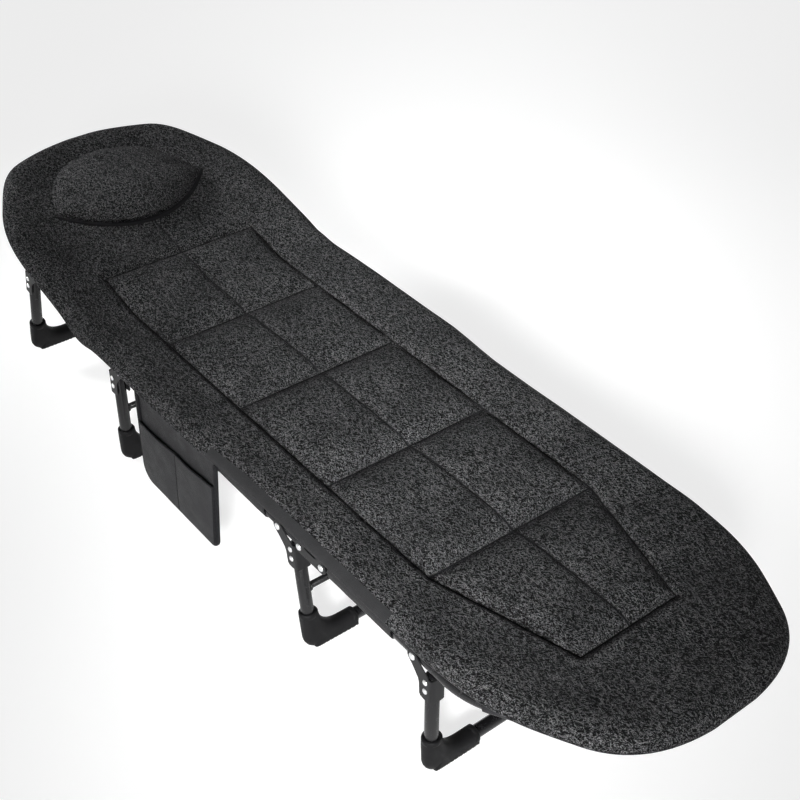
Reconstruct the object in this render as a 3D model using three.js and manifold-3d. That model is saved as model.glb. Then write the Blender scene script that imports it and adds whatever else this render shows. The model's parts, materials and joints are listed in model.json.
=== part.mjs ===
// Folding cot: a quilted mat slung on a three-section steel tube frame that stands on four U-shaped
// folding legs. Millimetres, +Z up, +X towards the foot end, +Y towards the right-hand side of a
// person lying on their back with the head at -X. The floor is z = 0.
import * as THREE from 'three';
import { mergeVertices } from 'three/addons/utils/BufferGeometryUtils.js';
import Module from 'manifold-3d';

const wasm = await Module();
wasm.setup();

// ---- driving dimensions --------------------------------------------------------------------------

const GAP = 0.3; // clearance between pieces that touch

const TUBE_R = 11; // steel tube, 22 mm across
const TUBE_WALL = 1.1;
const TUBE_SIDES = 10;
const RING_SIDES = 12; // a ring round a tube, whose flats clear the tube
const RAIL_Y = 259; // side rails, from the centre line
const RAIL_Z = 226; // axis of the side rails above the floor

const HEAD_END = -932; // ends of the mat with the backrest flat
const FOOT_END = 925;
const MAT_HALF_WIDTH = 286;
const MAT_BOTTOM = 239;
const MAT_TOP = 252;
const FRAME_END = 870; // axis of the cross tube at either end of the frame

const BACKREST = { x: -406, z: 254 }; // axis of the ratchet hinges
const BACKREST_ANGLE = 12; // the backrest stands in its first notch, degrees above flat
const LINK_MID = { x: 288, z: RAIL_Z }; // the link's rivet in the middle section's rail
const LINK_FOOT = { x: 346, z: RAIL_Z }; // the link's rivet in the foot section's rail

const LEG_OFFSET = 31; // from a leg's pivot to the leg's own axis
const LEG_TOP = 20; // end of the leg tube below the rail's axis
const LEG_BEND = 45; // bend of the leg tube at the floor
const FLOOR_BAR = 16; // axis of the leg's floor bar above the sole
const BRACE_Z = 118; // cross brace of the inner legs above the sole
const BRACE_R = 6;
// fold: +1 folds towards the foot end, -1 towards the head end. lean: degrees off square, outwards
const LEGS = {
  leg_a: { pivotX: -602, fold: 1, lean: 0, brace: false },
  leg_b: { pivotX: -281, fold: 1, lean: 0, brace: true },
  leg_c: { pivotX: 229, fold: -1, lean: 9, brace: true },
  leg_d: { pivotX: 568, fold: -1, lean: 1, brace: false },
};

const PLATE = 1.8; // pressed steel plate
const CHEEK = TUBE_R + 0.6; // inner face of a bracket's cheek from the tube's axis
const RIVET_R = 3.8;
const RIVET_HEAD_R = 6;
const RIVET_HEAD = 1.8;

const SLEEVE = { half: 14.5, thick: 28, height: 72, length: 100, barTop: 31, corner: 18 };

const PILLOW = { tipX: -712, halfWidth: 166, lipX: -626, backX: -872, thick: 42 };
// hem: height of the pouch's top edge at the head end, and rise: how far it climbs to the foot end.
// flare: how far the foot-end edge leans out for each millimetre up
const POCKET = {
  x0: -203, x1: 44, z0: 42, z1: 238, hem: 172, rise: 16, flare: 0.08, back: -276, cloth: 1.5, seam: 2,
};
const STRAP = { x: -90, width: 38, thick: 1.2 };

const SIDES = { left: -1, right: 1 };
const rad = THREE.MathUtils.degToRad;

// ---- materials -----------------------------------------------------------------------------------

const FINISHES = {
  tube: [0x17181a, 0.42, 0.55],
  plate: [0x1a1b1d, 0.5, 0.5],
  rivet: [0xc8cbd0, 0.35, 0.9],
  zinc: [0xbfc3c8, 0.35, 0.9],
  plastic: [0x131416, 0.65, 0],
  melange: [0x1f2022, 0.95, 0],
  pillow: [0x232426, 0.95, 0],
  oxford: [0x3c3d40, 0.7, 0],
  webbing: [0x1b1c1e, 0.85, 0],
};

function addMesh(parent, name, finish, shape) {
  const [color, roughness, metalness] = FINISHES[finish];
  const material = new THREE.MeshStandardMaterial({ color, roughness, metalness });
  const mesh = new THREE.Mesh(shape instanceof THREE.BufferGeometry ? shape : toGeometry(shape), material);
  mesh.name = name;
  parent.add(mesh);
  return mesh;
}

// ---- solids --------------------------------------------------------------------------------------

// A closed geometry as a manifold solid: shared corners are merged and slivers dropped.
function solid(geometry) {
  const bare = geometry.clone();
  bare.deleteAttribute('normal');
  bare.deleteAttribute('uv');
  const merged = mergeVertices(bare, 1e-4);
  const corners = merged.index.array;
  const kept = [];
  for (let i = 0; i < corners.length; i += 3) {
    const [a, b, c] = corners.slice(i, i + 3);
    if (a !== b && b !== c && c !== a) kept.push(a, b, c);
  }
  return new wasm.Manifold(new wasm.Mesh({
    numProp: 3,
    vertProperties: new Float32Array(merged.attributes.position.array),
    triVerts: new Uint32Array(kept),
  }));
}

function toGeometry(manifold) {
  const { vertProperties, triVerts } = manifold.getMesh();
  const geometry = new THREE.BufferGeometry();
  geometry.setAttribute('position', new THREE.BufferAttribute(vertProperties, 3));
  geometry.setIndex(new THREE.BufferAttribute(triVerts, 1));
  geometry.computeVertexNormals();
  return geometry;
}

const join = (...solids) => solids.reduce((whole, piece) => whole.add(piece));
const cut = (body, ...tools) => tools.reduce((whole, tool) => whole.subtract(tool), body);

// A path whose sections stand exactly at its points, so straight runs need no steps between them.
class PointPath extends THREE.Curve {
  constructor(points) {
    super();
    this.points = points;
  }

  getPointAt(u) {
    const last = this.points.length - 1;
    const i = Math.min(Math.floor(u * last), last - 1);
    return this.points[i].clone().lerp(this.points[i + 1], u * last - i);
  }

  getPoint(u) {
    return this.getPointAt(u);
  }

  getTangentAt(u) {
    const last = this.points.length - 1;
    const i = Math.round(u * last);
    const way = (a, b) => this.points[b].clone().sub(this.points[a]).normalize();
    const before = way(Math.max(i - 1, 0), Math.max(i, 1));
    const after = way(Math.min(i, last - 1), Math.min(i + 1, last));
    return before.add(after).normalize();
  }
}

// A polyline with its inner corners rounded: corners is a list of [point, bend radius].
function bentLine(corners, stepDegrees = 18) {
  const points = [corners[0][0].clone()];
  for (let i = 1; i < corners.length - 1; i += 1) {
    const [corner, radius] = corners[i];
    const back = corners[i - 1][0].clone().sub(corner).normalize();
    const ahead = corners[i + 1][0].clone().sub(corner).normalize();
    const inside = back.angleTo(ahead);
    const middle = back.clone().add(ahead).normalize();
    const centre = corner.clone().addScaledVector(middle, radius / Math.sin(inside / 2));
    const start = corner.clone().addScaledVector(back, radius / Math.tan(inside / 2)).sub(centre);
    const axis = back.clone().cross(ahead).normalize();
    const turn = Math.PI - inside;
    const steps = Math.ceil(turn / rad(stepDegrees));
    for (let k = 0; k <= steps; k += 1) {
      points.push(start.clone().applyAxisAngle(axis, (-turn * k) / steps).add(centre));
    }
  }
  points.push(corners[corners.length - 1][0].clone());
  return points;
}

function circle(radius, sides, phase = 0) {
  const points = [];
  for (let i = 0; i < sides; i += 1) {
    const a = phase + (2 * Math.PI * i) / sides;
    points.push(new THREE.Vector2(radius * Math.cos(a), radius * Math.sin(a)));
  }
  return points;
}

// A round bar along points; wall makes it a hollow tube with open ends.
function bar(points, radius, wall = 0, sides = TUBE_SIDES) {
  const section = new THREE.Shape(circle(radius, sides, Math.PI / sides));
  if (wall) section.holes.push(new THREE.Path(circle(radius - wall, sides, Math.PI / sides)));
  const path = new PointPath(points);
  return solid(new THREE.ExtrudeGeometry(section, { steps: points.length - 1, extrudePath: path }));
}

// A ring of that wall round a tube along points.
function ring(points, wall) {
  const inner = (TUBE_R + GAP) / Math.cos(Math.PI / RING_SIDES);
  return bar(points, inner + wall, wall, RING_SIDES);
}

function box(x0, x1, y0, y1, z0, z1) {
  const geometry = new THREE.BoxGeometry(x1 - x0, y1 - y0, z1 - z0);
  return solid(geometry.translate((x0 + x1) / 2, (y0 + y1) / 2, (z0 + z1) / 2));
}

// A cylinder across the cot, along Y.
function crossPin(x, z, y0, y1, radius, sides = 8) {
  const geometry = new THREE.CylinderGeometry(radius, radius, y1 - y0, sides);
  return solid(geometry.translate(x, (y0 + y1) / 2, z));
}

// A plate in the XZ plane, given by its outline there, from y0 to y1.
function plate(shape, y0, y1, curveSegments = 5) {
  const geometry = new THREE.ExtrudeGeometry(shape, {
    depth: y1 - y0, bevelEnabled: false, curveSegments,
  });
  return solid(geometry.rotateX(Math.PI / 2).translate(0, y1, 0));
}

// A flat piece in the XY plane, from z0 to z1.
function slab(shape, z0, z1, curveSegments = 5) {
  const geometry = new THREE.ExtrudeGeometry(shape, {
    depth: z1 - z0, bevelEnabled: false, curveSegments,
  });
  return solid(geometry.translate(0, 0, z0));
}

// A low rivet head on the face at y, standing out to outward (+1 or -1).
function rivetHead(x, z, y, outward, radius = 4.6, height = 1.8) {
  const dome = new THREE.CylinderGeometry(radius * 0.55, radius, height, 6);
  if (outward < 0) dome.rotateZ(Math.PI);
  return solid(dome.translate(x, y + (outward * height) / 2 - outward * 0.05, z));
}

// A rivet across a rail at y: shank with a head outside each cheek.
function crossRivet(x, z, y) {
  const face = CHEEK + PLATE + GAP;
  const reach = face + RIVET_HEAD;
  const profile = [
    [0, -reach], [RIVET_HEAD_R * 0.7, -reach], [RIVET_HEAD_R, -face], [RIVET_R, -face],
    [RIVET_R, face], [RIVET_HEAD_R, face], [RIVET_HEAD_R * 0.7, reach], [0, reach],
  ].map(([r, h]) => new THREE.Vector2(r, h));
  return solid(new THREE.LatheGeometry(profile, 8).translate(x, y, z));
}

const rivetHole = (x, z, y) => crossPin(x, z, y - 20, y + 20, RIVET_R + GAP);

// ---- the sections' frames ------------------------------------------------------------------------

const RAIL_END = 28; // a rail ends this far from the ratchet hinge's axis
const STUB = 24; // a rail runs this far past the link's rivet, and its cap a little further
const CAP = 4;

const onRail = (x, y) => new THREE.Vector3(x, y, RAIL_Z);

function midRail(side) {
  const y = side * RAIL_Y;
  const tube = bar([onRail(BACKREST.x + RAIL_END, y), onRail(LINK_MID.x + STUB, y)], TUBE_R, TUBE_WALL);
  const holes = [LEGS.leg_b.pivotX, LEGS.leg_c.pivotX, LINK_MID.x].map((x) => rivetHole(x, RAIL_Z, y));
  return cut(tube, ...holes);
}

// The U-shaped frame of an end section: two rails that bend in to a cross tube.
function endFrame(startX, shoulderX, endX, endHalf, holeXs) {
  const line = bentLine([
    [onRail(startX, -RAIL_Y)],
    [onRail(shoulderX, -RAIL_Y), 150],
    [onRail(endX, -endHalf), 60],
    [onRail(endX, endHalf), 60],
    [onRail(shoulderX, RAIL_Y), 150],
    [onRail(startX, RAIL_Y)],
  ]);
  const holes = Object.values(SIDES).flatMap((side) => (
    holeXs.map((x) => rivetHole(x, RAIL_Z, side * RAIL_Y))));
  return cut(bar(line, TUBE_R, TUBE_WALL), ...holes);
}

// A moulded plug in the open end of a tube at x, facing way along X.
function endCap(x, y, way) {
  const bore = TUBE_R - TUBE_WALL - GAP;
  const profile = [
    [0, -10], [bore - 0.8, -10], [bore - 0.8, GAP], [TUBE_R - 0.3, GAP], [TUBE_R - 2, CAP], [0, CAP],
  ].map(([r, h]) => new THREE.Vector2(r, h));
  const turned = new THREE.LatheGeometry(profile, TUBE_SIDES);
  return solid(turned.rotateZ((-way * Math.PI) / 2).translate(x, y, RAIL_Z));
}

// ---- ratchet hinges of the backrest --------------------------------------------------------------

const SOCKET = { wall: 1.3, start: 18, end: 57 };

// One half of a ratchet hinge: a socket on the rail's end and two plates that rise to the axis.
// way is +1 for the half on the middle section and -1 for the half on the backrest.
function hingeArm(side, way, plateInner, discR) {
  const y = side * RAIL_Y;
  const at = (offset) => BACKREST.x + way * offset;
  const socket = ring([onRail(at(SOCKET.start), y), onRail(at(SOCKET.end), y)], SOCKET.wall);
  const outline = new THREE.Shape();
  const [low, high] = [RAIL_Z - 9.5, RAIL_Z + 9.5];
  const from = way > 0 ? rad(200) : rad(-20);
  const to = way > 0 ? rad(-10) : rad(190);
  outline.moveTo(at(RAIL_END - 2), low);
  outline.lineTo(at(SOCKET.start - 1), low);
  outline.absarc(BACKREST.x, BACKREST.z, discR, from, to, way > 0);
  outline.lineTo(at(RAIL_END - 2), high);
  const plates = [plateInner, -plateInner - 2].map((edge) => plate(outline, y + edge, y + edge + 2, 5));
  return cut(join(socket, ...plates), crossPin(BACKREST.x, BACKREST.z, y - 20, y + 20, RIVET_R + GAP));
}

// The toothed wheel on its pin, between the plates.
function ratchet(side) {
  const y = side * RAIL_Y;
  const teeth = 8;
  const outline = new THREE.Shape();
  for (let i = 0; i < teeth * 3; i += 1) {
    const a = (2 * Math.PI * i) / (teeth * 3);
    const r = i % 3 === 0 ? 10.8 : 8.8;
    const point = [BACKREST.x + r * Math.cos(a), BACKREST.z + r * Math.sin(a)];
    if (i === 0) outline.moveTo(...point);
    else outline.lineTo(...point);
  }
  outline.closePath();
  const wheel = plate(outline, y - 4.6, y + 4.6);
  const pin = crossPin(BACKREST.x, BACKREST.z, y - 12.3, y + 12.3, RIVET_R);
  const heads = [-1, 1].map((way) => (
    crossPin(BACKREST.x, BACKREST.z, y + way * 11.45 - 1.1, y + way * 11.45 + 1.1, RIVET_HEAD_R)));
  return join(wheel, pin, ...heads);
}

// ---- links between the middle and foot sections --------------------------------------------------

// An inverted channel over the two rail ends: its web stops either rail from sagging.
function foldLink(side) {
  const y = side * RAIL_Y;
  const outline = new THREE.Shape();
  const r = 11.5;
  outline.absarc(LINK_FOOT.x, RAIL_Z, r, -Math.PI / 2, Math.PI / 2, false);
  outline.absarc(LINK_MID.x, RAIL_Z, r, Math.PI / 2, (3 * Math.PI) / 2, false);
  const cheeks = [CHEEK, -CHEEK - PLATE].map((edge) => plate(outline, y + edge, y + edge + PLATE, 5));
  const web = box(LINK_MID.x + 14, LINK_FOOT.x - 14, y - CHEEK - PLATE, y + CHEEK + PLATE,
    RAIL_Z + 10.5, RAIL_Z + CHEEK + PLATE);
  const channel = cut(join(...cheeks, web), box(LINK_MID.x, LINK_FOOT.x, y - CHEEK, y + CHEEK,
    RAIL_Z - 20, RAIL_Z + CHEEK));
  return cut(channel, ...[LINK_MID, LINK_FOOT].map(({ x }) => rivetHole(x, RAIL_Z, y)));
}

// ---- legs ----------------------------------------------------------------------------------------

// From the pivot down to the sole, so that a leaning leg still stands on the floor.
function soleDepth(lean) {
  const inner = LEG_OFFSET - SLEEVE.thick / 2;
  return (RAIL_Z + inner * Math.sin(rad(lean))) / Math.cos(rad(lean));
}

function legLine(leg) {
  const x = leg.pivotX - leg.fold * LEG_OFFSET;
  const floor = RAIL_Z - soleDepth(leg.lean) + FLOOR_BAR;
  const at = (y, z) => new THREE.Vector3(x, y, z);
  return bentLine([
    [at(-RAIL_Y, RAIL_Z - LEG_TOP)],
    [at(-RAIL_Y, floor), LEG_BEND],
    [at(RAIL_Y, floor), LEG_BEND],
    [at(RAIL_Y, RAIL_Z - LEG_TOP)],
  ]);
}

// The moulded shoe round the tube's bend: its outline is drawn inwards from the outer face.
function footSleeve(leg, side) {
  const { half, thick, height, length, barTop, corner } = SLEEVE;
  const sole = RAIL_Z - soleDepth(leg.lean);
  const x = leg.pivotX - leg.fold * LEG_OFFSET;
  const outline = new THREE.Shape();
  outline.moveTo(0, height);
  outline.lineTo(0, corner);
  outline.absarc(corner, corner, corner, Math.PI, 1.5 * Math.PI, false);
  outline.lineTo(length, 0);
  outline.lineTo(length, barTop);
  outline.lineTo(76, barTop);
  outline.absarc(76, 76, 76 - barTop, 1.5 * Math.PI, Math.PI, true);
  outline.lineTo(31, 76);
  outline.lineTo(2 * half, height);
  const shoe = new THREE.ExtrudeGeometry(outline, { depth: thick, bevelEnabled: false, curveSegments: 4 });
  shoe.translate(0, 0, -thick / 2);
  if (side > 0) shoe.rotateY(Math.PI);
  shoe.rotateX(Math.PI / 2).rotateZ(Math.PI / 2);
  shoe.translate(x, side * (RAIL_Y + half), sole);
  const boreSides = 8;
  const bore = (TUBE_R + GAP) / Math.cos(Math.PI / boreSides);
  return cut(solid(shoe), bar(legLine(leg), bore, 0, boreSides));
}

// The pressed channel that carries the leg on the rail: two cheeks, a web and the rivets' heads.
function legBracket(leg, side) {
  const y = side * RAIL_Y;
  const at = (u) => leg.pivotX - leg.fold * u;
  const outline = new THREE.Shape();
  const webOuter = LEG_OFFSET + TUBE_R + GAP + PLATE;
  const points = [[-9, -7], [16, -34], [17, -62], [webOuter - 5, -65], [webOuter, -60], [webOuter, -20], [39, -14]];
  const lobe = [55, 20, -20, -60, -100, -140].map((a) => [
    11 * Math.sin(rad(a)), 11 * Math.cos(rad(a))]);
  [...points, ...lobe].forEach(([u, z], i) => {
    const point = [at(u), RAIL_Z + z];
    if (i === 0) outline.moveTo(...point);
    else outline.lineTo(...point);
  });
  outline.closePath();
  const cheeks = [CHEEK, -CHEEK - PLATE].map((edge) => plate(outline, y + edge, y + edge + PLATE));
  const webX = [at(webOuter), at(webOuter - PLATE)].sort((a, b) => a - b);
  const web = box(...webX, y - CHEEK - PLATE, y + CHEEK + PLATE, RAIL_Z - 58, RAIL_Z - 22);
  const heads = [-29, -47].flatMap((z) => [-1, 1].map((way) => (
    rivetHead(at(LEG_OFFSET - 1), RAIL_Z + z, y + way * (CHEEK + PLATE), way))));
  return cut(join(...cheeks, web, ...heads), rivetHole(leg.pivotX, RAIL_Z, y));
}

function legBrace(leg) {
  const x = leg.pivotX - leg.fold * LEG_OFFSET;
  const z = RAIL_Z - soleDepth(leg.lean) + BRACE_Z;
  const reach = RAIL_Y - TUBE_R - GAP;
  return bar([new THREE.Vector3(x, -reach, z), new THREE.Vector3(x, reach, z)], BRACE_R, 1);
}

// A group that turns about a hinge line along Y, holding pieces drawn in the flat cot's own frame.
function hinged(parent, { x, z }, degrees) {
  const turning = new THREE.Group();
  turning.position.set(x, 0, z);
  turning.rotation.y = rad(degrees);
  const pieces = new THREE.Group();
  pieces.position.set(-x, 0, -z);
  turning.add(pieces);
  parent.add(turning);
  return pieces;
}

function addLeg(parent, name) {
  const leg = LEGS[name];
  const group = hinged(parent, { x: leg.pivotX, z: RAIL_Z }, leg.fold * leg.lean);
  addMesh(group, `${name}_tube`, 'tube', bar(legLine(leg), TUBE_R, TUBE_WALL));
  if (leg.brace) addMesh(group, `${name}_brace`, 'tube', legBrace(leg));
  for (const [word, side] of Object.entries(SIDES)) {
    addMesh(group, `${name}_foot_${word}`, 'plastic', footSleeve(leg, side));
    addMesh(group, `${name}_bracket_${word}`, 'plate', legBracket(leg, side));
    addMesh(parent, `${name}_rivet_${word}`, 'rivet', crossRivet(leg.pivotX, RAIL_Z, side * RAIL_Y));
  }
}

// ---- mat, pillow, pocket and straps --------------------------------------------------------------

// The mat's whole outline: straight sides that taper in rounded shoulders to each end.
function matOutline() {
  const w = MAT_HALF_WIDTH;
  const [h, f] = [HEAD_END, FOOT_END];
  const outline = new THREE.Shape();
  outline.moveTo(f, w - 245);
  outline.bezierCurveTo(f - 8, w - 140, f - 55, w - 98, f - 97, w - 77);
  outline.bezierCurveTo(f - 180, w - 32, f - 250, w, f - 350, w);
  outline.lineTo(h + 260, w);
  outline.bezierCurveTo(h + 205, w, h + 140, w - 42, h + 80, w - 83);
  outline.bezierCurveTo(h + 45, w - 108, h, w - 150, h, w - 215);
  outline.lineTo(h, 215 - w);
  outline.bezierCurveTo(h, 150 - w, h + 45, 108 - w, h + 80, 83 - w);
  outline.bezierCurveTo(h + 140, 42 - w, h + 205, -w, h + 260, -w);
  outline.lineTo(f - 350, -w);
  outline.bezierCurveTo(f - 250, -w, f - 180, 32 - w, f - 97, 77 - w);
  outline.bezierCurveTo(f - 55, 98 - w, f - 8, 140 - w, f, 245 - w);
  outline.closePath();
  return outline;
}

// The stretch of the mat from x0 to x1, notched at the sides round the hinges.
function matPiece(x0, x1, notches) {
  const whole = slab(matOutline(), MAT_BOTTOM, MAT_TOP, 6);
  const stretch = box(x0, x1, -400, 400, 0, 400);
  const tools = notches.flatMap(([from, to]) => [
    box(from, to, RAIL_Y - 15, 400, 0, 400), box(from, to, -400, -RAIL_Y + 15, 0, 400)]);
  return cut(whole.intersect(stretch), ...tools);
}

// A half-moon cushion sewn on at the head: crisp lip towards the foot end.
function pillow() {
  const { tipX, halfWidth, lipX, backX, thick } = PILLOW;
  const outline = new THREE.Shape();
  outline.moveTo(tipX, -halfWidth);
  outline.quadraticCurveTo(2 * lipX - tipX - 8, 0, tipX, halfWidth);
  outline.bezierCurveTo(tipX - 60, halfWidth + 8, backX, 120, backX, 0);
  outline.bezierCurveTo(backX, -120, tipX - 60, -halfWidth - 8, tipX, -halfWidth);
  const geometry = new THREE.ExtrudeGeometry(outline, {
    depth: thick - 20, bevelEnabled: true, bevelThickness: 10, bevelSize: 12, bevelOffset: -12,
    bevelSegments: 1, curveSegments: 6,
  });
  return solid(geometry.translate(0, 0, MAT_TOP + GAP + 10));
}

function pocketPanel(x0, x1, z0, [leftTop, rightTop], radius, flare) {
  const outline = new THREE.Shape();
  outline.moveTo(x1 + flare * (rightTop - z0), rightTop);
  outline.lineTo(x0, leftTop);
  outline.lineTo(x0, z0 + radius);
  outline.quadraticCurveTo(x0, z0, x0 + radius, z0);
  outline.lineTo(x1 - radius, z0);
  outline.quadraticCurveTo(x1, z0, x1 + flare * radius, z0 + radius);
  outline.closePath();
  return outline;
}

function pocketBack() {
  const { x0, x1, z0, z1, flare, back, cloth } = POCKET;
  return plate(pocketPanel(x0, x1, z0, [z1, z1], 30, flare), back - cloth, back);
}

// The pouch: a front cloth joined to the back along its sides, its bottom and a middle seam.
function pocketFront() {
  const { x0, x1, z0, hem, rise, flare, back, cloth, seam } = POCKET;
  const inner = back - cloth - GAP;
  const pouch = plate(pocketPanel(x0, x1, z0, [hem, hem + rise], 30, flare), -MAT_HALF_WIDTH, inner);
  const middle = (x0 + x1) / 2;
  const above = [hem + rise + 10, hem + rise + 10];
  const rooms = [[x0 + seam, middle - seam / 2, 0], [middle + seam / 2, x1 - seam, flare]].map(([a, b, out]) => (
    plate(pocketPanel(a, b, z0 + seam, above, 28, out), -MAT_HALF_WIDTH + cloth, inner + 5)));
  return cut(pouch, ...rooms);
}

function strap(side) {
  const y = side * RAIL_Y;
  return ring([onRail(STRAP.x, y), onRail(STRAP.x + STRAP.width, y)], STRAP.thick);
}

// ---- assembly ------------------------------------------------------------------------------------

const cot = new THREE.Group();
const backrest = hinged(cot, BACKREST, BACKREST_ANGLE);

const JOINT_NOTCH = 26;
const LINK_NOTCH = 14;
const backrestJoint = [BACKREST.x - JOINT_NOTCH, BACKREST.x + JOINT_NOTCH];
const linkJoint = [LINK_MID.x - LINK_NOTCH, LINK_FOOT.x + LINK_NOTCH];

const headRail = BACKREST.x - RAIL_END;
const footRail = LINK_FOOT.x - STUB;
addMesh(backrest, 'head_frame', 'tube', endFrame(headRail, -718, -FRAME_END, 160, [LEGS.leg_a.pivotX]));
addMesh(cot, 'foot_frame', 'tube',
  endFrame(footRail, 668, FRAME_END, 145, [LINK_FOOT.x, LEGS.leg_d.pivotX]));

addMesh(backrest, 'mat_head', 'melange', matPiece(HEAD_END - 1, BACKREST.x - 4, [backrestJoint]));
addMesh(cot, 'mat_middle', 'melange', matPiece(BACKREST.x + 4, LINK_MID.x + 14, [backrestJoint, linkJoint]));
addMesh(cot, 'mat_foot', 'melange', matPiece(LINK_FOOT.x - 14, FOOT_END + 1, [linkJoint]));
addMesh(backrest, 'pillow', 'pillow', pillow());
addMesh(cot, 'pocket_back', 'oxford', pocketBack());
addMesh(cot, 'pocket_front', 'oxford', pocketFront());

for (const [word, side] of Object.entries(SIDES)) {
  const y = side * RAIL_Y;
  addMesh(cot, `mid_rail_${word}`, 'tube', midRail(side));
  addMesh(cot, `mid_rail_cap_${word}`, 'plastic', endCap(LINK_MID.x + STUB, y, 1));
  addMesh(cot, `foot_frame_cap_${word}`, 'plastic', endCap(footRail, y, -1));
  addMesh(cot, `hinge_mid_arm_${word}`, 'zinc', hingeArm(side, 1, 8, 13));
  addMesh(backrest, `hinge_head_arm_${word}`, 'zinc', hingeArm(side, -1, 5.2, 11.5));
  addMesh(cot, `hinge_ratchet_${word}`, 'zinc', ratchet(side));
  addMesh(cot, `fold_link_${word}`, 'plate', foldLink(side));
  addMesh(cot, `link_mid_rivet_${word}`, 'rivet', crossRivet(LINK_MID.x, RAIL_Z, y));
  addMesh(cot, `link_foot_rivet_${word}`, 'rivet', crossRivet(LINK_FOOT.x, RAIL_Z, y));
  addMesh(cot, `storage_strap_${word}`, 'webbing', strap(side));
}

addLeg(backrest, 'leg_a');
addLeg(cot, 'leg_b');
addLeg(cot, 'leg_c');
addLeg(cot, 'leg_d');

export default cot;
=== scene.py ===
"""Folding cot: the detailed visual model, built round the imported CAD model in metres.

+X runs to the foot end, +Y to the right of a person lying on their back, and the floor is z = 0.
Pieces of the backrest are drawn flat and then turned up with it.
"""
import json
import math

import bpy
import numpy as np
from mathutils import Matrix, Vector

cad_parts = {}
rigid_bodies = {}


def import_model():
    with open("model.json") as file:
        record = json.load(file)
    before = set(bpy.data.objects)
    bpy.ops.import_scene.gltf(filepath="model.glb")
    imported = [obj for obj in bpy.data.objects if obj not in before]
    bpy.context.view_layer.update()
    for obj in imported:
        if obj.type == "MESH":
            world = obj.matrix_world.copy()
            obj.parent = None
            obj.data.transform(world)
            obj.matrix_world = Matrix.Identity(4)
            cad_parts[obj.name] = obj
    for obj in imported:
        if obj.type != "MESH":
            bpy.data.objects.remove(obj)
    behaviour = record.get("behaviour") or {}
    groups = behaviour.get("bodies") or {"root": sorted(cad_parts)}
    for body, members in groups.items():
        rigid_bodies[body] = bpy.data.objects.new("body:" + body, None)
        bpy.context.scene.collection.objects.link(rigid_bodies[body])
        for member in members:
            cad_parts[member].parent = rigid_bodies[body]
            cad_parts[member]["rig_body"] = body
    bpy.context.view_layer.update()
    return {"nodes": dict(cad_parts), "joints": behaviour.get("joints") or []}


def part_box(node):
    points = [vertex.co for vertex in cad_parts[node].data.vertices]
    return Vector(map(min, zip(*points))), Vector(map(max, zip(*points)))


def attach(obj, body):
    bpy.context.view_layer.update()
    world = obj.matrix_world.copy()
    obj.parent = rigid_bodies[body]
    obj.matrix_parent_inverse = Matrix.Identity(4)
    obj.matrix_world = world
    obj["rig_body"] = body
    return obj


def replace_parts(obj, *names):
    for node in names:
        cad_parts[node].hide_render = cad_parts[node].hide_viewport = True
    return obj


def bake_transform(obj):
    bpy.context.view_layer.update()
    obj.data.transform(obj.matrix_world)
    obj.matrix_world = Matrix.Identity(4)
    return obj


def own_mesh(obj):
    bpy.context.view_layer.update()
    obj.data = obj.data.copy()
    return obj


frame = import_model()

# ---- measures, in metres -------------------------------------------------------------------------

JOINTS = {joint["name"]: joint for joint in frame["joints"]}
SIDES = {"left": -1, "right": 1}


def joint_point(name):
    return Vector(JOINTS[name]["pos_m"])


def turn(point, degrees):
    """A turn about a line along Y through that point."""
    point = Vector((point[0], 0, point[2]))
    spin = Matrix.Rotation(math.radians(degrees), 4, "Y")
    return Matrix.Translation(point) @ spin @ Matrix.Translation(-point)


HINGE = joint_point("backrest")
LINK_MID = joint_point("link_fold")
LINK_FOOT = joint_point("foot_fold")
BACKREST_ANGLE = -JOINTS["backrest"]["range_deg"][0]
HEAD_TURN = turn(HINGE, BACKREST_ANGLE)
FLAT = Matrix.Identity(4)

RAIL_Z = LINK_MID.z
RAIL_Y = sum(corner.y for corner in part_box("mid_rail_right")) / 2
TUBE_R = 0.011

MAT_HEAD = -0.932          # ends of the mat with the backrest flat
MAT_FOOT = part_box("mat_foot")[1].x
MAT_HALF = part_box("mat_foot")[1].y
FRAME_END = 0.870

PLATE = 0.0018
CHEEK = TUBE_R + 0.0006    # inner face of a bracket's cheek from the tube's axis
LEG_OFFSET = 0.031
LEG_TOP = 0.020
LEG_BEND = 0.045
FLOOR_BAR = 0.016
BRACE_Z = 0.118
BRACE_R = 0.006
SLEEVE_HALF = 0.0145
LEGS = {
    # fold: +1 folds towards the foot end, -1 towards the head end; lean in degrees off square
    "leg_a": dict(pivot=-0.602, fold=1, lean=0, brace=False, frame=HEAD_TURN, body="head"),
    "leg_b": dict(pivot=-0.281, fold=1, lean=0, brace=True, frame=FLAT, body="mid"),
    "leg_c": dict(pivot=0.229, fold=-1, lean=9, brace=True, frame=FLAT, body="mid"),
    "leg_d": dict(pivot=0.568, fold=-1, lean=1, brace=False, frame=FLAT, body="foot"),
}


# ---- node materials ------------------------------------------------------------------------------

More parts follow.
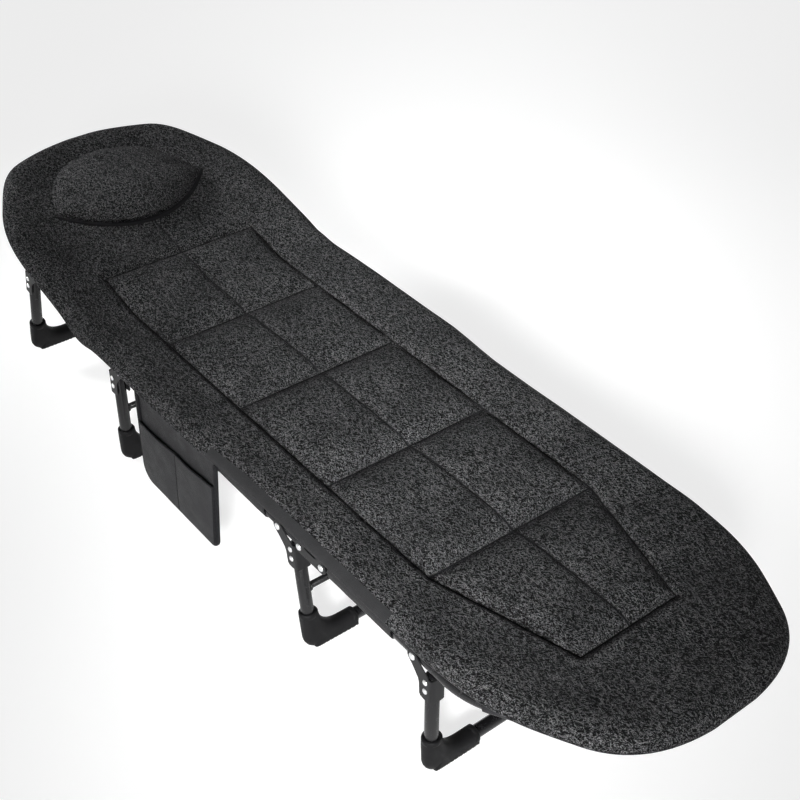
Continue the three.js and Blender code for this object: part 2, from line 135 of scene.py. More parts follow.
class Surface:
    """A Principled material with short names for the nodes it is built from."""

    def __init__(self, name, color, roughness, metallic=0.0, specular=0.5, **sockets):
        self.material = bpy.data.materials.new(name)
        self.material.use_nodes = True
        self.tree = self.material.node_tree
        self.shader = self.tree.nodes["Principled BSDF"]
        plain = dict(Base_Color=(*color, 1), Roughness=roughness, Metallic=metallic,
                     Specular_IOR_Level=specular)
        for key, value in {**plain, **sockets}.items():
            self.feed(self.shader.inputs[key.replace("_", " ")], value)
        self.where = self.tree.nodes.new("ShaderNodeTexCoord").outputs["Object"]

    def feed(self, socket, value):
        """Links another node's output to the socket, or sets a plain value on it."""
        if isinstance(value, bpy.types.NodeSocket):
            self.tree.links.new(value, socket)
        else:
            socket.default_value = value

    def node(self, kind, output, settings=None, **sockets):
        """The output of a new node; an underscore in a socket's name stands for a space."""
        node = self.tree.nodes.new("ShaderNode" + kind)
        for key, value in (settings or {}).items():
            setattr(node, key, value)
        for key, value in sockets.items():
            self.feed(node.inputs[key.replace("_", " ")], value)
        return node.outputs[output]

    def mapped(self, scale):
        return self.node("Mapping", "Vector", Scale=scale, Vector=self.where)

    def strokes_at(self, stretch, degrees):
        """Places stretched along X, with that direction turned about Z."""
        return self.node("Mapping", "Vector", {"vector_type": "TEXTURE"}, Scale=(stretch, 1, 1),
                         Rotation=(0, 0, math.radians(degrees)), Vector=self.where)

    def noise(self, scale, detail=2.0, roughness=0.5, distortion=0.0, at=None):
        return self.node("TexNoise", "Fac", Scale=scale, Detail=detail, Roughness=roughness,
                         Distortion=distortion, Vector=at or self.where)

    def wave(self, scale, direction, distortion):
        return self.node("TexWave", "Fac", {"bands_direction": direction}, Scale=scale,
                         Distortion=distortion, Vector=self.where)

    def range(self, source, low, high, to_low=0.0, to_high=1.0):
        return self.node("MapRange", "Result", From_Min=low, From_Max=high, To_Min=to_low, To_Max=to_high,
                         Value=source)

    def math(self, operation, first, second):
        node = self.tree.nodes.new("ShaderNodeMath")
        node.operation = operation
        self.feed(node.inputs[0], first)
        self.feed(node.inputs[1], second)
        return node.outputs["Value"]

    def mix(self, factor, dark, light):
        dark, light = ((*value, 1) if isinstance(value, tuple) else value for value in (dark, light))
        return self.node("Mix", "Result", {"data_type": "RGBA"}, Factor=factor, A=dark, B=light)

    def color(self, source):
        self.feed(self.shader.inputs["Base Color"], source)

    def roughness(self, source):
        self.feed(self.shader.inputs["Roughness"], source)

    def bump(self, height, distance, strength):
        """A bump on top of those that the shader already has."""
        sockets = dict(Strength=strength, Distance=distance, Height=height)
        before = self.shader.inputs["Normal"].links
        if before:
            sockets["Normal"] = before[0].from_socket
        self.feed(self.shader.inputs["Normal"], self.node("Bump", "Normal", **sockets))


def flecks(surface, scale):
    """Short light fibres that lie in three directions: 0 between them, 1 on one."""
    strokes = None
    for number, angle in enumerate((-22, 16, 62)):
        at = surface.strokes_at(3.4, angle)
        stroke = surface.noise(scale * (1 + 0.16 * number), 2, 0.6, 0.3, at)
        stroke = surface.range(stroke, 0.55, 0.63)
        strokes = stroke if strokes is None else surface.math("MAXIMUM", strokes, stroke)
    return strokes


def melange(name, dark, light, sheen):
    """Brushed knit of black and grey yarn."""
    surface = Surface(name, dark, 0.92, specular=0.06, Sheen_Weight=sheen, Sheen_Roughness=0.5,
                      Sheen_Tint=(0.62, 0.62, 0.64, 1))
    strokes = flecks(surface, 400)
    patches = surface.range(surface.noise(11, 3, 0.6), 0.3, 0.7, 0.6, 1.1)
    speckle = surface.range(surface.noise(900, 2, 0.6), 0.44, 0.60, 0.05, 1.0)
    shown = surface.math("MULTIPLY", surface.math("MULTIPLY", strokes, patches), speckle)
    yarn = surface.noise(380, 3, 0.7)
    base = surface.mix(yarn, tuple(c * 0.45 for c in dark), tuple(c * 1.5 for c in dark))
    surface.color(surface.mix(shown, base, light))
    surface.roughness(surface.range(strokes, 0, 1, 0.97, 0.82))
    surface.bump(surface.noise(950, 2, 0.6), 0.0006, 0.5)
    surface.bump(strokes, 0.0010, 0.5)
    surface.bump(surface.noise(60, 3, 0.6), 0.0016, 0.3)
    return surface.material


def woven(name, dark, light, pitch, roughness):
    """Plain-woven cloth: crossing threads of that pitch, with a soft, slightly uneven colour."""
    surface = Surface(name, dark, roughness, specular=0.1, Sheen_Weight=0.01, Sheen_Roughness=0.4)
    weave = surface.math("MULTIPLY", *(surface.wave(0.5 / pitch, way, 0.35) for way in "XZ"))
    tone = surface.math("MULTIPLY", surface.noise(26, 4, 0.6), surface.range(weave, 0, 1, 0.8, 1.15))
    surface.color(surface.mix(tone, dark, light))
    surface.roughness(surface.range(surface.noise(40, 3), 0.3, 0.7, roughness - 0.07, roughness + 0.08))
    surface.bump(weave, pitch * 0.35, 0.5)
    surface.bump(surface.noise(34, 3, 0.55), 0.0022, 0.3)
    return surface.material


def painted(name, dark, worn, roughness, grain, gloss):
    """Black powder coat over steel: fine orange peel, rubbed a little lighter in places."""
    surface = Surface(name, dark, roughness, specular=gloss, Coat_Weight=gloss * 0.4, Coat_Roughness=0.16)
    rubbed = surface.range(surface.noise(75, 5, 0.65), 0.55, 0.75)
    scuffs = surface.range(surface.noise(240, 3, 0.6, 1.2, surface.mapped((1, 1, 0.18))), 0.64, 0.74)
    surface.color(surface.mix(surface.math("MULTIPLY", rubbed, 0.5), dark, worn))
    surface.roughness(surface.math("ADD", surface.range(rubbed, 0, 1, roughness, roughness + 0.12),
                                   surface.math("MULTIPLY", scuffs, 0.1)))
    surface.bump(surface.noise(grain, 3, 0.55), 0.00025, 0.45)
    return surface.material


def bare_metal(name, color, roughness, brushed):
    """Plated or bright metal, its grain drawn out along X where it is brushed."""
    surface = Surface(name, color, roughness, metallic=1.0)
    grain = surface.noise(900, 3, 0.7, 0, surface.mapped((0.12, 1, 1) if brushed else (1, 1, 1)))
    blotch = surface.noise(120, 4, 0.6)
    surface.color(surface.mix(blotch, tuple(c * 0.86 for c in color), color))
    surface.roughness(surface.range(grain, 0.3, 0.7, roughness - 0.08, roughness + 0.1))
    surface.bump(grain, 0.00012, 0.35)
    return surface.material


def moulded(name, dark, light, roughness):
    """Black moulded plastic with a fine spark-eroded grain."""
    surface = Surface(name, dark, roughness, specular=0.1)
    grain = surface.noise(1500, 2, 0.5)
    surface.color(surface.mix(surface.noise(55, 4, 0.6), dark, light))
    surface.roughness(surface.range(surface.noise(90, 3), 0.3, 0.7, roughness - 0.06, roughness + 0.08))
    surface.bump(grain, 0.0002, 0.5)
    return surface.material


MELANGE = melange("mat_melange", (0.0038, 0.0038, 0.0041), (0.165, 0.165, 0.169), 0.015)
PILLOW_CLOTH = melange("pillow_melange", (0.0060, 0.0060, 0.0063), (0.170, 0.170, 0.174), 0.02)
NYLON = woven("under_nylon", (0.010, 0.010, 0.011), (0.021, 0.021, 0.023), 0.0011, 0.52)
OXFORD = woven("pocket_oxford", (0.014, 0.014, 0.015), (0.024, 0.024, 0.0255), 0.0010, 0.6)
BAND_CLOTH = woven("rail_band_oxford", (0.012, 0.012, 0.0125), (0.022, 0.022, 0.023), 0.0010, 0.6)
BINDING = woven("binding_tape", (0.005, 0.005, 0.006), (0.012, 0.012, 0.013), 0.0013, 0.7)
WEBBING = woven("strap_webbing", (0.010, 0.010, 0.011), (0.026, 0.026, 0.028), 0.0021, 0.75)
TUBE_PAINT = painted("tube_paint", (0.006, 0.006, 0.0065), (0.016, 0.016, 0.017), 0.24, 700, 0.32)
PLATE_PAINT = painted("plate_paint", (0.008, 0.008, 0.0085), (0.018, 0.018, 0.019), 0.46, 950, 0.12)
ZINC = bare_metal("zinc_plate", (0.62, 0.64, 0.66), 0.34, True)
RIVET = bare_metal("bright_rivet", (0.90, 0.90, 0.91), 0.30, False)
PLASTIC = moulded("black_plastic", (0.004, 0.004, 0.0043), (0.008, 0.008, 0.0085), 0.55)
# near-black cloth: real thread on the pocket's divider seam, and painted shade as the cords in the mat's
# seams and the cord under the pillow's lip
THREAD_AND_SHADE = woven("seam_thread_and_shade", (0.003, 0.003, 0.0035), (0.008, 0.008, 0.009), 0.0009, 0.8)


# ---- meshes --------------------------------------------------------------------------------------

def make(name, verts, faces, material, slot, smooth=True, place=FLAT):
    """A mesh object from points and faces, set in place, with its finish."""
    mesh = bpy.data.meshes.new(name)
    mesh.from_pydata([tuple(v) for v in verts], [], [tuple(f) for f in faces])
    mesh.transform(place)
    mesh.materials.append(material)
    mesh.shade_smooth() if smooth else mesh.shade_flat()
    obj = bpy.data.objects.new(name, mesh)
    bpy.context.scene.collection.objects.link(obj)
    return obj


def join_parts(*parts):
    """Several (verts, faces) as one."""
    verts, faces = [], []
    for part_verts, part_faces in parts:
        start = len(verts)
        verts.extend(map(tuple, part_verts))
        faces.extend([tuple(start + i for i in face) for face in part_faces])
    return verts, faces


def soften(obj, width, segments=2, angle=35):
    """Rounds the edges that are sharper than angle, with a bevel that hardens the normals beside them."""
    bevel = obj.modifiers.new("round", "BEVEL")
    bevel.width, bevel.segments = width, segments
    bevel.limit_method, bevel.angle_limit = "ANGLE", math.radians(angle)
    bevel.harden_normals = True
    return obj


def bent_line(corners, step=6.0):
    """A polyline with its inner corners rounded: corners is a list of (point, bend radius)."""
    points = [Vector(corners[0][0])]
    for before, (corner, radius), after in zip(corners, corners[1:], corners[2:]):
        corner = Vector(corner)
        back = (Vector(before[0]) - corner).normalized()
        ahead = (Vector(after[0]) - corner).normalized()
        inside = back.angle(ahead)
        centre = corner + (back + ahead).normalized() * (radius / math.sin(inside / 2))
        start = corner + back * (radius / math.tan(inside / 2)) - centre
        axis = back.cross(ahead).normalized()
        sweep = math.pi - inside
        steps = math.ceil(math.degrees(sweep) / step)
        for k in range(steps + 1):
            points.append(Matrix.Rotation(-sweep * k / steps, 3, axis) @ start + centre)
    points.append(Vector(corners[-1][0]))
    return points


def closed_rings(rings, count, order=(0, 1, 2, 3), inside_out=False):
    """Faces between rings of count points, with a cap on the first and last ring.

    order picks the corners of each face: 0 and 3 on one ring, 1 and 2 on the next."""
    faces = []
    for i in range(rings - 1):
        for k in range(count):
            a, b = i * count + k, i * count + (k + 1) % count
            corners = (a, a + count, b + count, b)
            faces.append(tuple(corners[c] for c in order))
    near, far = tuple(range(count)), tuple(range((rings - 1) * count, rings * count))
    return faces + ([near[::-1], far] if inside_out else [near, far[::-1]])


def swept(points, section, up):
    """A closed section, given as (side, up) offsets, carried along points, with flat ends.

    section may also be a function of the point's number."""
    points = [Vector(p) for p in points]
    up = Vector(up).normalized()
    verts = []
    for i, point in enumerate(points):
        way = (points[min(i + 1, len(points) - 1)] - points[max(i - 1, 0)]).normalized()
        side = way.cross(up).normalized()
        ring = section(i) if callable(section) else section
        verts.extend(point + side * a + up * b for a, b in ring)
    return verts, closed_rings(len(points), len(verts) // len(points))


def circle(radius, sides=28):
    return [(radius * math.cos(2 * math.pi * i / sides), radius * math.sin(2 * math.pi * i / sides))
            for i in range(sides)]


def bar(points, radius, up=(0, 0, 1), sides=28):
    """A round bar whose ends are drawn in a little, as a deburred tube's are."""
    points = [Vector(p) for p in points]
    first = (points[1] - points[0]).normalized()
    last = (points[-1] - points[-2]).normalized()
    lip = radius * 0.08
    line = [points[0], points[0] + first * lip, *points[1:-1], points[-1] - last * lip, points[-1]]
    shrunk = {0: radius - lip, len(line) - 1: radius - lip}
    return swept(line, lambda i: circle(shrunk.get(i, radius), sides), up)


def pipe(start, end, inner, outer, up=(0, 0, 1), sides=36):
    """A short sleeve round the line from start to end."""
    start, end = Vector(start), Vector(end)
    way = (end - start).normalized()
    side, up = way.cross(Vector(up)).normalized(), Vector(up)
    lip = (outer - inner) * 0.3
    profile = [(0, inner), (0, outer - lip), (lip, outer), ((end - start).length - lip, outer),
               ((end - start).length, outer - lip), ((end - start).length, inner)]
    verts, faces = [], []
    for along, radius in profile:
        verts.extend(start + way * along + side * a + up * b for a, b in circle(radius, sides))
    for i in range(len(profile)):
        for k in range(sides):
            a, b = i * sides + k, i * sides + (k + 1) % sides
            c, d = (a + sides) % len(verts), (b + sides) % len(verts)
            faces.append((a, b, d, c))
    return verts, faces


def lathe(profile, centre, way=1, sides=28):
    """A profile of (radius, height) turned about a line along Y; way is the direction of height."""
    centre = Vector(centre)
    verts = []
    for radius, height in profile:
        verts.extend(centre + Vector((a, way * height, b)) for a, b in circle(max(radius, 1e-5), sides))
    order = (0, 1, 2, 3) if way > 0 else (0, 3, 2, 1)
    return verts, closed_rings(len(profile), sides, order, inside_out=way < 0)


def plate(outline, y0, y1):
    """A plate in the XZ plane, given by its outline there."""
    count = len(outline)
    verts = [(x, y0, z) for x, z in outline] + [(x, y1, z) for x, z in outline]
    area = sum(a[0] * b[1] - b[0] * a[1] for a, b in zip(outline, outline[1:] + outline[:1]))
    near, far = tuple(range(count)), tuple(range(count, 2 * count))
    faces = [near, far[::-1]] if area > 0 else [near[::-1], far]
    for k in range(count):
        nxt = (k + 1) % count
        side = (k, k + count, nxt + count, nxt)
        faces.append(side if area > 0 else side[::-1])
    return verts, faces


def arc(cx, cz, radius, start, end, steps=14):
    """Points of an arc from start to end, in degrees from +X towards +Z."""
    angles = [math.radians(start + (end - start) * k / steps) for k in range(steps + 1)]
    return [(cx + radius * math.cos(a), cz + radius * math.sin(a)) for a in angles]


def rivet_head(x, y, z, way, radius=0.006, height=0.0026):
    """A low domed head on the face at y."""
    rise_at = ((1, 0.25), (0.93, 0.52), (0.78, 0.78), (0.5, 0.95), (0.2, 1), (0, 1))
    dome = [(radius, -0.0004), *((radius * across, height * up) for across, up in rise_at)]
    return lathe(dome, (x, y, z), way)


def rivet_across(x, z, y, face):
    """A rivet through a rail at y, with a head outside each cheek."""
    shank = bar([(x, y - face, z), (x, y + face, z)], 0.0036, sides=20)
    return join_parts(shank, rivet_head(x, y + face, z, 1), rivet_head(x, y - face, z, -1))


# ---- the frame -----------------------------------------------------------------------------------

def on_rail(x, y):
    return (x, y, RAIL_Z)


def end_frame(start, shoulder, end, end_half):
    return bent_line([
        (on_rail(start, -RAIL_Y), 0),
        (on_rail(shoulder, -RAIL_Y), 0.150),
        (on_rail(end, -end_half), 0.060),
        (on_rail(end, end_half), 0.060),
        (on_rail(shoulder, RAIL_Y), 0.150),
        (on_rail(start, RAIL_Y), 0),
    ], 4)


RAIL_END = 0.028            # the tubes stop this far either side of the backrest's hinge
STUB = 0.024                # and run on this far past the fold link's rivets
HEAD_LINE = end_frame(HINGE.x - RAIL_END, -0.718, -FRAME_END, 0.160)
FOOT_LINE = end_frame(LINK_FOOT.x - STUB, 0.668, FRAME_END, 0.145)


def build_frame():
    head = make("head_tube", *bar(HEAD_LINE, TUBE_R), TUBE_PAINT, "tube", place=HEAD_TURN)
    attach(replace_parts(head, "head_frame"), "head")
    foot = make("foot_tube", *bar(FOOT_LINE, TUBE_R), TUBE_PAINT, "tube")
    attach(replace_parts(foot, "foot_frame"), "foot")
    for word, side in SIDES.items():
        y = side * RAIL_Y
        line = [on_rail(HINGE.x + RAIL_END, y), on_rail(LINK_MID.x + STUB, y)]
        rail = make(f"side_rail_{word}", *bar(line, TUBE_R), TUBE_PAINT, "tube")
        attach(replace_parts(rail, f"mid_rail_{word}"), "mid")


SOCKET_IN, SOCKET_OUT = 0.0113, 0.0130      # the hinge's socket round the rail
CHEEK_GAUGE = 0.002
WHEEL_R, WHEEL_ROOT, WHEEL_TEETH, WHEEL_HALF = 0.0108, 0.0089, 12, 0.0046
HINGE_HALVES = (
    # which half, the way it lies from the hinge, its cheeks' inner face, disc radius, body, place
    ("mid", 1, 0.008, 0.0118, "mid", FLAT),
    ("head", -1, 0.0052, 0.0108, "head", HEAD_TURN),
)


def hinge_outline(way, disc_r):
    """One half of a ratchet hinge: way is +1 on the middle section and -1 on the backrest."""
    low, high = RAIL_Z - 0.0095, RAIL_Z + 0.0095
    turned = arc(HINGE.x, HINGE.z, disc_r, *((200, -10) if way > 0 else (-20, 190)), 40)
    near, far = HINGE.x + way * 0.017, HINGE.x + way * 0.026
    return [(far, low), (near, low), *turned, (far, high)]


def ratchet_wheel(y):
    """The toothed wheel on its pin, with the pin's heads."""
    corners = WHEEL_TEETH * 4
    wheel = []
    for i in range(corners):
        radius = WHEEL_R if i % 4 in (0, 1) else WHEEL_ROOT
        a = 2 * math.pi * i / corners
        wheel.append((HINGE.x + radius * math.cos(a), HINGE.z + radius * math.sin(a)))
    pin = bar([(HINGE.x, y - 0.0115, HINGE.z), (HINGE.x, y + 0.0115, HINGE.z)], 0.0038, sides=20)
    heads = [rivet_head(HINGE.x, y + s * 0.0101, HINGE.z, s, 0.0052, 0.0018) for s in (-1, 1)]
    return join_parts(plate(wheel, y - WHEEL_HALF, y + WHEEL_HALF), pin, *heads)


def build_hinges():
    for word, side in SIDES.items():
        y = side * RAIL_Y
        for half, way, inner, disc_r, body, place in HINGE_HALVES:
            socket = pipe((HINGE.x + way * 0.018, y, RAIL_Z), (HINGE.x + way * 0.057, y, RAIL_Z),
                          SOCKET_IN, SOCKET_OUT)
            outline = hinge_outline(way, disc_r)
            cheeks = [plate(outline, y + edge, y + edge + CHEEK_GAUGE)
                      for edge in (inner, -inner - CHEEK_GAUGE)]
            arm = make(f"hinge_{half}_plates_{word}", *join_parts(socket, *cheeks), ZINC, "zinc", place=place)
            soften(arm, 0.0006)
            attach(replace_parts(arm, f"hinge_{half}_arm_{word}"), body)
            marks = [rivet_head(HINGE.x + way * along, y + s * SOCKET_OUT, RAIL_Z, s, 0.0028, 0.0012)
                     for along in (0.033, 0.047) for s in (-1, 1)]
            pins = make(f"hinge_{half}_pins_{word}", *join_parts(*marks), RIVET, "zinc", place=place)
            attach(pins, body)
        ratchet = make(f"ratchet_wheel_{word}", *ratchet_wheel(y), ZINC, "zinc")
        soften(ratchet, 0.0004)
        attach(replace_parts(ratchet, f"hinge_ratchet_{word}"), "mid")


LINK_R = 0.0115


def build_links():
    """The pressed channels, open below, that join the middle and foot rails."""
    outline = arc(LINK_FOOT.x, RAIL_Z, LINK_R, -90, 90, 20) + arc(LINK_MID.x, RAIL_Z, LINK_R, 90, 270, 20)
    face = CHEEK + PLATE
    for word, side in SIDES.items():
        y = side * RAIL_Y
        cheeks = [plate(outline, y + edge, y + edge + PLATE) for edge in (CHEEK, -CHEEK - PLATE)]
        bow = [(-face, 0.006), (-face, 0.0105), (-face + 0.0012, 0.0128), (-face + 0.004, face),
               (face - 0.004, face), (face - 0.0012, 0.0128), (face, 0.0105), (face, 0.006),
               (CHEEK, 0.006), (CHEEK, 0.0100), (CHEEK - 0.002, CHEEK), (-CHEEK + 0.002, CHEEK),
               (-CHEEK, 0.0100), (-CHEEK, 0.006)]
        web = swept([(LINK_MID.x + 0.014, y, RAIL_Z), (LINK_FOOT.x - 0.014, y, RAIL_Z)], bow, (0, 0, 1))
        link = make(f"fold_channel_{word}", *join_parts(*cheeks, web), PLATE_PAINT, "plate")
        soften(link, 0.0007)
        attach(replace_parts(link, f"fold_link_{word}"), "fold_links")
        for end, point in (("mid", LINK_MID), ("foot", LINK_FOOT)):
            shape = rivet_across(point.x, RAIL_Z, y, face)
            rivet = make(f"link_{end}_pin_{word}", *shape, RIVET, "rivet")
            node = f"link_{end}_rivet_{word}"
            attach(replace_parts(rivet, node), frame["nodes"][node]["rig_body"])


# ---- legs ----------------------------------------------------------------------------------------

def sole_depth(lean):
    """From the pivot down to the sole, so that a leaning leg still stands on the floor."""
    inner = LEG_OFFSET - 0.014
    return (RAIL_Z + inner * math.sin(math.radians(lean))) / math.cos(math.radians(lean))


def sleeve_outline():
    """The shoe's edge as (centre, edge) pairs, each (inwards from the outer face, up from the sole).

    The centre is the nearest point of the tube inside it."""
    along, base, bend = SLEEVE_HALF, FLOOR_BAR, LEG_BEND

    def centre(u, h):
        if h > base + bend:
            return along, h
        if u > along + bend:
            return u, base
        a = math.atan2(base + bend - h, along + bend - u)
        return along + bend * (1 - math.cos(a)), base + bend * (1 - math.sin(a))

    corner = arc(0.022, 0.022, 0.022, 180, 270, 10)
    outer = [(0, 0.070 - 0.048 * k / 6) for k in range(6)]
    ribs = []
    for k in range(8):
        start = 0.026 + 0.0088 * k
        ribs += [(start, 0), (start + 0.0056, 0), (start + 0.0062, 0.0011), (start + 0.0082, 0.0011)]
    inner = arc(0.073, 0.072, 0.042, 270, 180, 15)
    edge = [*outer, *corner, *ribs, (0.100, 0), (0.100, 0.030), *inner, (0.030, 0.070)]
    return [(centre(u, h), (u, h)) for u, h in edge]


COLLAR_IN, COLLAR_OUT = 0.0118, 0.0152


def sleeve(x, side, sole):
    """The moulded shoe round the tube's bend, with a collar at each end."""
    outline, half = sleeve_outline(), 0.0143
    reach = side * (RAIL_Y + SLEEVE_HALF)
    verts = []
    layers = [math.sin(math.radians(a)) for a in (-80, -70, -58, -45, -30, -10, 10, 30, 45, 58, 70, 80)]
    for s in layers:
        rounded, flat = ((1 - abs(s) ** power) ** (1 / power) for power in (2.6, 7))
        for (cu, ch), (u, h) in outline:
            share = flat if h < 0.0012 else rounded
            verts.append((x + s * half, reach - side * (cu + (u - cu) * share), sole + ch + (h - ch) * share))
    order = (3, 2, 1, 0) if side > 0 else (0, 1, 2, 3)
    faces = closed_rings(len(layers), len(outline), order, inside_out=side > 0)
    y, bar_z = side * RAIL_Y, sole + FLOOR_BAR
    collar = pipe((x, y, sole + 0.0625), (x, y, sole + 0.0725), COLLAR_IN, COLLAR_OUT, (1, 0, 0))
    inward = reach - side * 0.0915
    mouth = pipe((x, inward, bar_z), (x, inward - side * 0.0095, bar_z), COLLAR_IN, COLLAR_OUT)
    return join_parts((verts, faces), collar, mouth)


def bracket(leg, side):
    """The pressed channel that carries the leg on the rail."""
    y = side * RAIL_Y
    web_outer = LEG_OFFSET + TUBE_R + 0.0003 + PLATE
    web_start = 0.0345

    def at(u):
        return leg["pivot"] - leg["fold"] * u

    lobe = [(0.011 * math.sin(math.radians(a)), 0.011 * math.cos(math.radians(a)))
            for a in range(58, -141, -9)]
    waist = [(-0.0085, -0.0070), (0.000, -0.0150), (0.008, -0.0245), (0.0136, -0.0315), (0.0162, -0.0390),
             (0.0168, -0.0500), (0.0170, -0.0600), (0.0195, -0.0640), (0.0270, -0.0655), (0.0355, -0.0655),
             (0.0355, -0.0160), (0.031, -0.0115), (0.023, -0.0055), (0.015, 0.0010)]
    outline = [(at(u), RAIL_Z + z) for u, z in waist + lobe]
    cheeks = [plate(outline, y + edge, y + edge + PLATE) for edge in (CHEEK, -CHEEK - PLATE)]
    outer, inner = [], []
    for a in range(0, 181, 15):
        c, s = math.cos(math.radians(a)), math.sin(math.radians(a))
        squared = 1 / max(abs(c) ** 6 + abs(s) ** 6, 1e-9) ** (1 / 6)
        outer.append(((CHEEK + PLATE) * c * squared, web_start + (web_outer - web_start) * s * squared))
        inner.append((CHEEK * c * squared, web_start + (web_outer - PLATE - web_start) * s * squared))
    loop = outer + inner[::-1]
    levels = (-0.0655, -0.0640, -0.0215, -0.0185)
    verts = [(at(u), y + b, RAIL_Z + level) for level in levels for b, u in loop]
    towards_foot = leg["fold"] > 0
    order = (0, 3, 2, 1) if towards_foot else (1, 2, 3, 0)
    faces = closed_rings(len(levels), len(loop), order, inside_out=towards_foot)
    heads = [rivet_head(at(LEG_OFFSET - 0.001), y + way * (CHEEK + PLATE), RAIL_Z + z, way, 0.0048, 0.0021)
             for z in (-0.029, -0.047) for way in (-1, 1)]
    return join_parts(*cheeks, (verts, faces)), join_parts(*heads)


def build_legs():
    for name, leg in LEGS.items():
        x = leg["pivot"] - leg["fold"] * LEG_OFFSET
        sole = RAIL_Z - sole_depth(leg["lean"])
        place = leg["frame"] @ turn((leg["pivot"], 0, RAIL_Z), leg["fold"] * leg["lean"])
        top, low = RAIL_Z - LEG_TOP, sole + FLOOR_BAR
        line = bent_line([((x, -RAIL_Y, top), 0), ((x, -RAIL_Y, low), LEG_BEND),
                          ((x, RAIL_Y, low), LEG_BEND), ((x, RAIL_Y, top), 0)])
        tube = make(f"{name}_bow", *bar(line, TUBE_R, (1, 0, 0)), TUBE_PAINT, "tube", place=place)
        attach(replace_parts(tube, f"{name}_tube"), name)
        if leg["brace"]:
            reach, z = RAIL_Y - TUBE_R * 0.9, sole + BRACE_Z
            rod = bar([(x, -reach, z), (x, reach, z)], BRACE_R, sides=20)
            lugs = [lathe([(0.0088, 0), (0.0082, 0.0022), (0.0066, 0.0036), (BRACE_R, 0.0042)],
                          (x, s * reach, z), -s, 24) for s in (-1, 1)]
            brace = make(f"{name}_crossbar", *join_parts(rod, *lugs), TUBE_PAINT, "tube", place=place)
            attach(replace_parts(brace, f"{name}_brace"), name)
        for word, side in SIDES.items():
            foot = make(f"{name}_shoe_{word}", *sleeve(x, side, sole), PLASTIC, "plastic", place=place)
            soften(foot, 0.0005, 2, 50)
            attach(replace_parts(foot, f"{name}_foot_{word}"), name)
            body, heads = bracket(leg, side)
            carrier = make(f"{name}_channel_{word}", *body, PLATE_PAINT, "plate", place=place)
            soften(carrier, 0.0007)
            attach(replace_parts(carrier, f"{name}_bracket_{word}"), name)
            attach(make(f"{name}_heads_{word}", *heads, RIVET, "rivet", place=place), name)
            rivet = rivet_across(leg["pivot"], RAIL_Z, side * RAIL_Y, CHEEK + PLATE)
            pin = make(f"{name}_pivot_{word}", *rivet, RIVET, "rivet", place=leg["frame"])
            node = f"{name}_rivet_{word}"
            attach(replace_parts(pin, node), frame["nodes"][node]["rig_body"])


# ---- the mat -------------------------------------------------------------------------------------

def bezier(a, b, c, d, steps=40):
    t = np.linspace(0, 1, steps + 1)[:, None]
    a, b, c, d = map(np.array, (a, b, c, d))
    return a * (1 - t) ** 3 + 3 * b * t * (1 - t) ** 2 + 3 * c * t ** 2 * (1 - t) + d * t ** 3


def mat_side():
    """The mat's outline on +Y, from the foot end to the head end."""
    w, h, f = MAT_HALF, MAT_HEAD, MAT_FOOT
    line = np.concatenate([
        bezier((f, w - 0.245), (f - 0.008, w - 0.140), (f - 0.055, w - 0.098), (f - 0.097, w - 0.077)),
        bezier((f - 0.097, w - 0.077), (f - 0.180, w - 0.032), (f - 0.250, w), (f - 0.350, w)),
        bezier((h + 0.360, w), (h + 0.270, w), (h + 0.210, w - 0.008), (h + 0.150, w - 0.038)),
        bezier((h + 0.150, w - 0.038), (h + 0.092, w - 0.067), (h + 0.050, w - 0.086),
               (h + 0.031, w - 0.126)),
        bezier((h + 0.031, w - 0.126), (h + 0.016, w - 0.160), (h + 0.002, w - 0.222), (h, w - 0.262)),
    ])
    parts = [line[:1]]
    for a, b in zip(line[:-1], line[1:]):
        steps = max(int(math.hypot(*(b - a)) / 0.04), 1)
        parts.append(a + (b - a) * (np.arange(1, steps + 1) / steps)[:, None])
    return np.concatenate(parts)


def tuck(x):
    """How far the mat's side is drawn in over the foot half, where bands and links show beside it."""
    t = np.clip((x + 0.02) / 0.16, 0, 1) * np.clip((0.78 - x) / 0.16, 0, 1)
    return 0.011 * t * t * (3 - 2 * t)


def tucked(outline):
    x, y = outline[:, 0], outline[:, 1]
    return np.stack([x, np.where(y > 0.2, y - tuck(x), y)], axis=1)


SIDE_LINE = tucked(mat_side())
CROSS_SEAMS = (-0.278, -0.038, 0.218, 0.477)
PANEL_HEAD, PANEL_FOOT = -0.512, 0.7275
PANEL_HALF, PANEL_END_HALF = 0.168, 0.098
CUTS = (-0.038, LINK_MID.x + (LINK_FOOT.x - LINK_MID.x) / 2)
FLAP = (0.030, 0.512)       # a flap of smooth cloth shows on the mat's side between these
FLAP_HIGH = 0.0150
BEND_REACH = 0.055          # the mat bends over this far either side of the backrest's hinge


def half_width(x):
    return np.interp(x, SIDE_LINE[::-1, 0], SIDE_LINE[::-1, 1])


def panel_half(x):
    """Half the width of the quilted panel, carried on beyond its ends to lead the mesh's lines."""
    taper = np.interp(x, (CROSS_SEAMS[-1], PANEL_FOOT), (PANEL_HALF, PANEL_END_HALF))
    return np.minimum(taper, 0.60 * half_width(x))


def to_lines(points, px, py):
    """Distance of each (px, py) from a polyline."""
    best = np.full(px.shape, 9.0)
    for (ax, ay), (bx, by) in zip(points[:-1], points[1:]):
        dx, dy = bx - ax, by - ay
        length = dx * dx + dy * dy
        if length < 1e-14:
            continue
        t = np.clip(((px - ax) * dx + (py - ay) * dy) / length, 0, 1)
        best = np.minimum(best, np.hypot(px - ax - t * dx, py - ay - t * dy))
    return best


def from_edge(px, py):
    """Distance of each point from the mat's outline."""
    return to_lines(np.concatenate([SIDE_LINE, SIDE_LINE[::-1] * (1, -1), SIDE_LINE[:1]]), px, py)


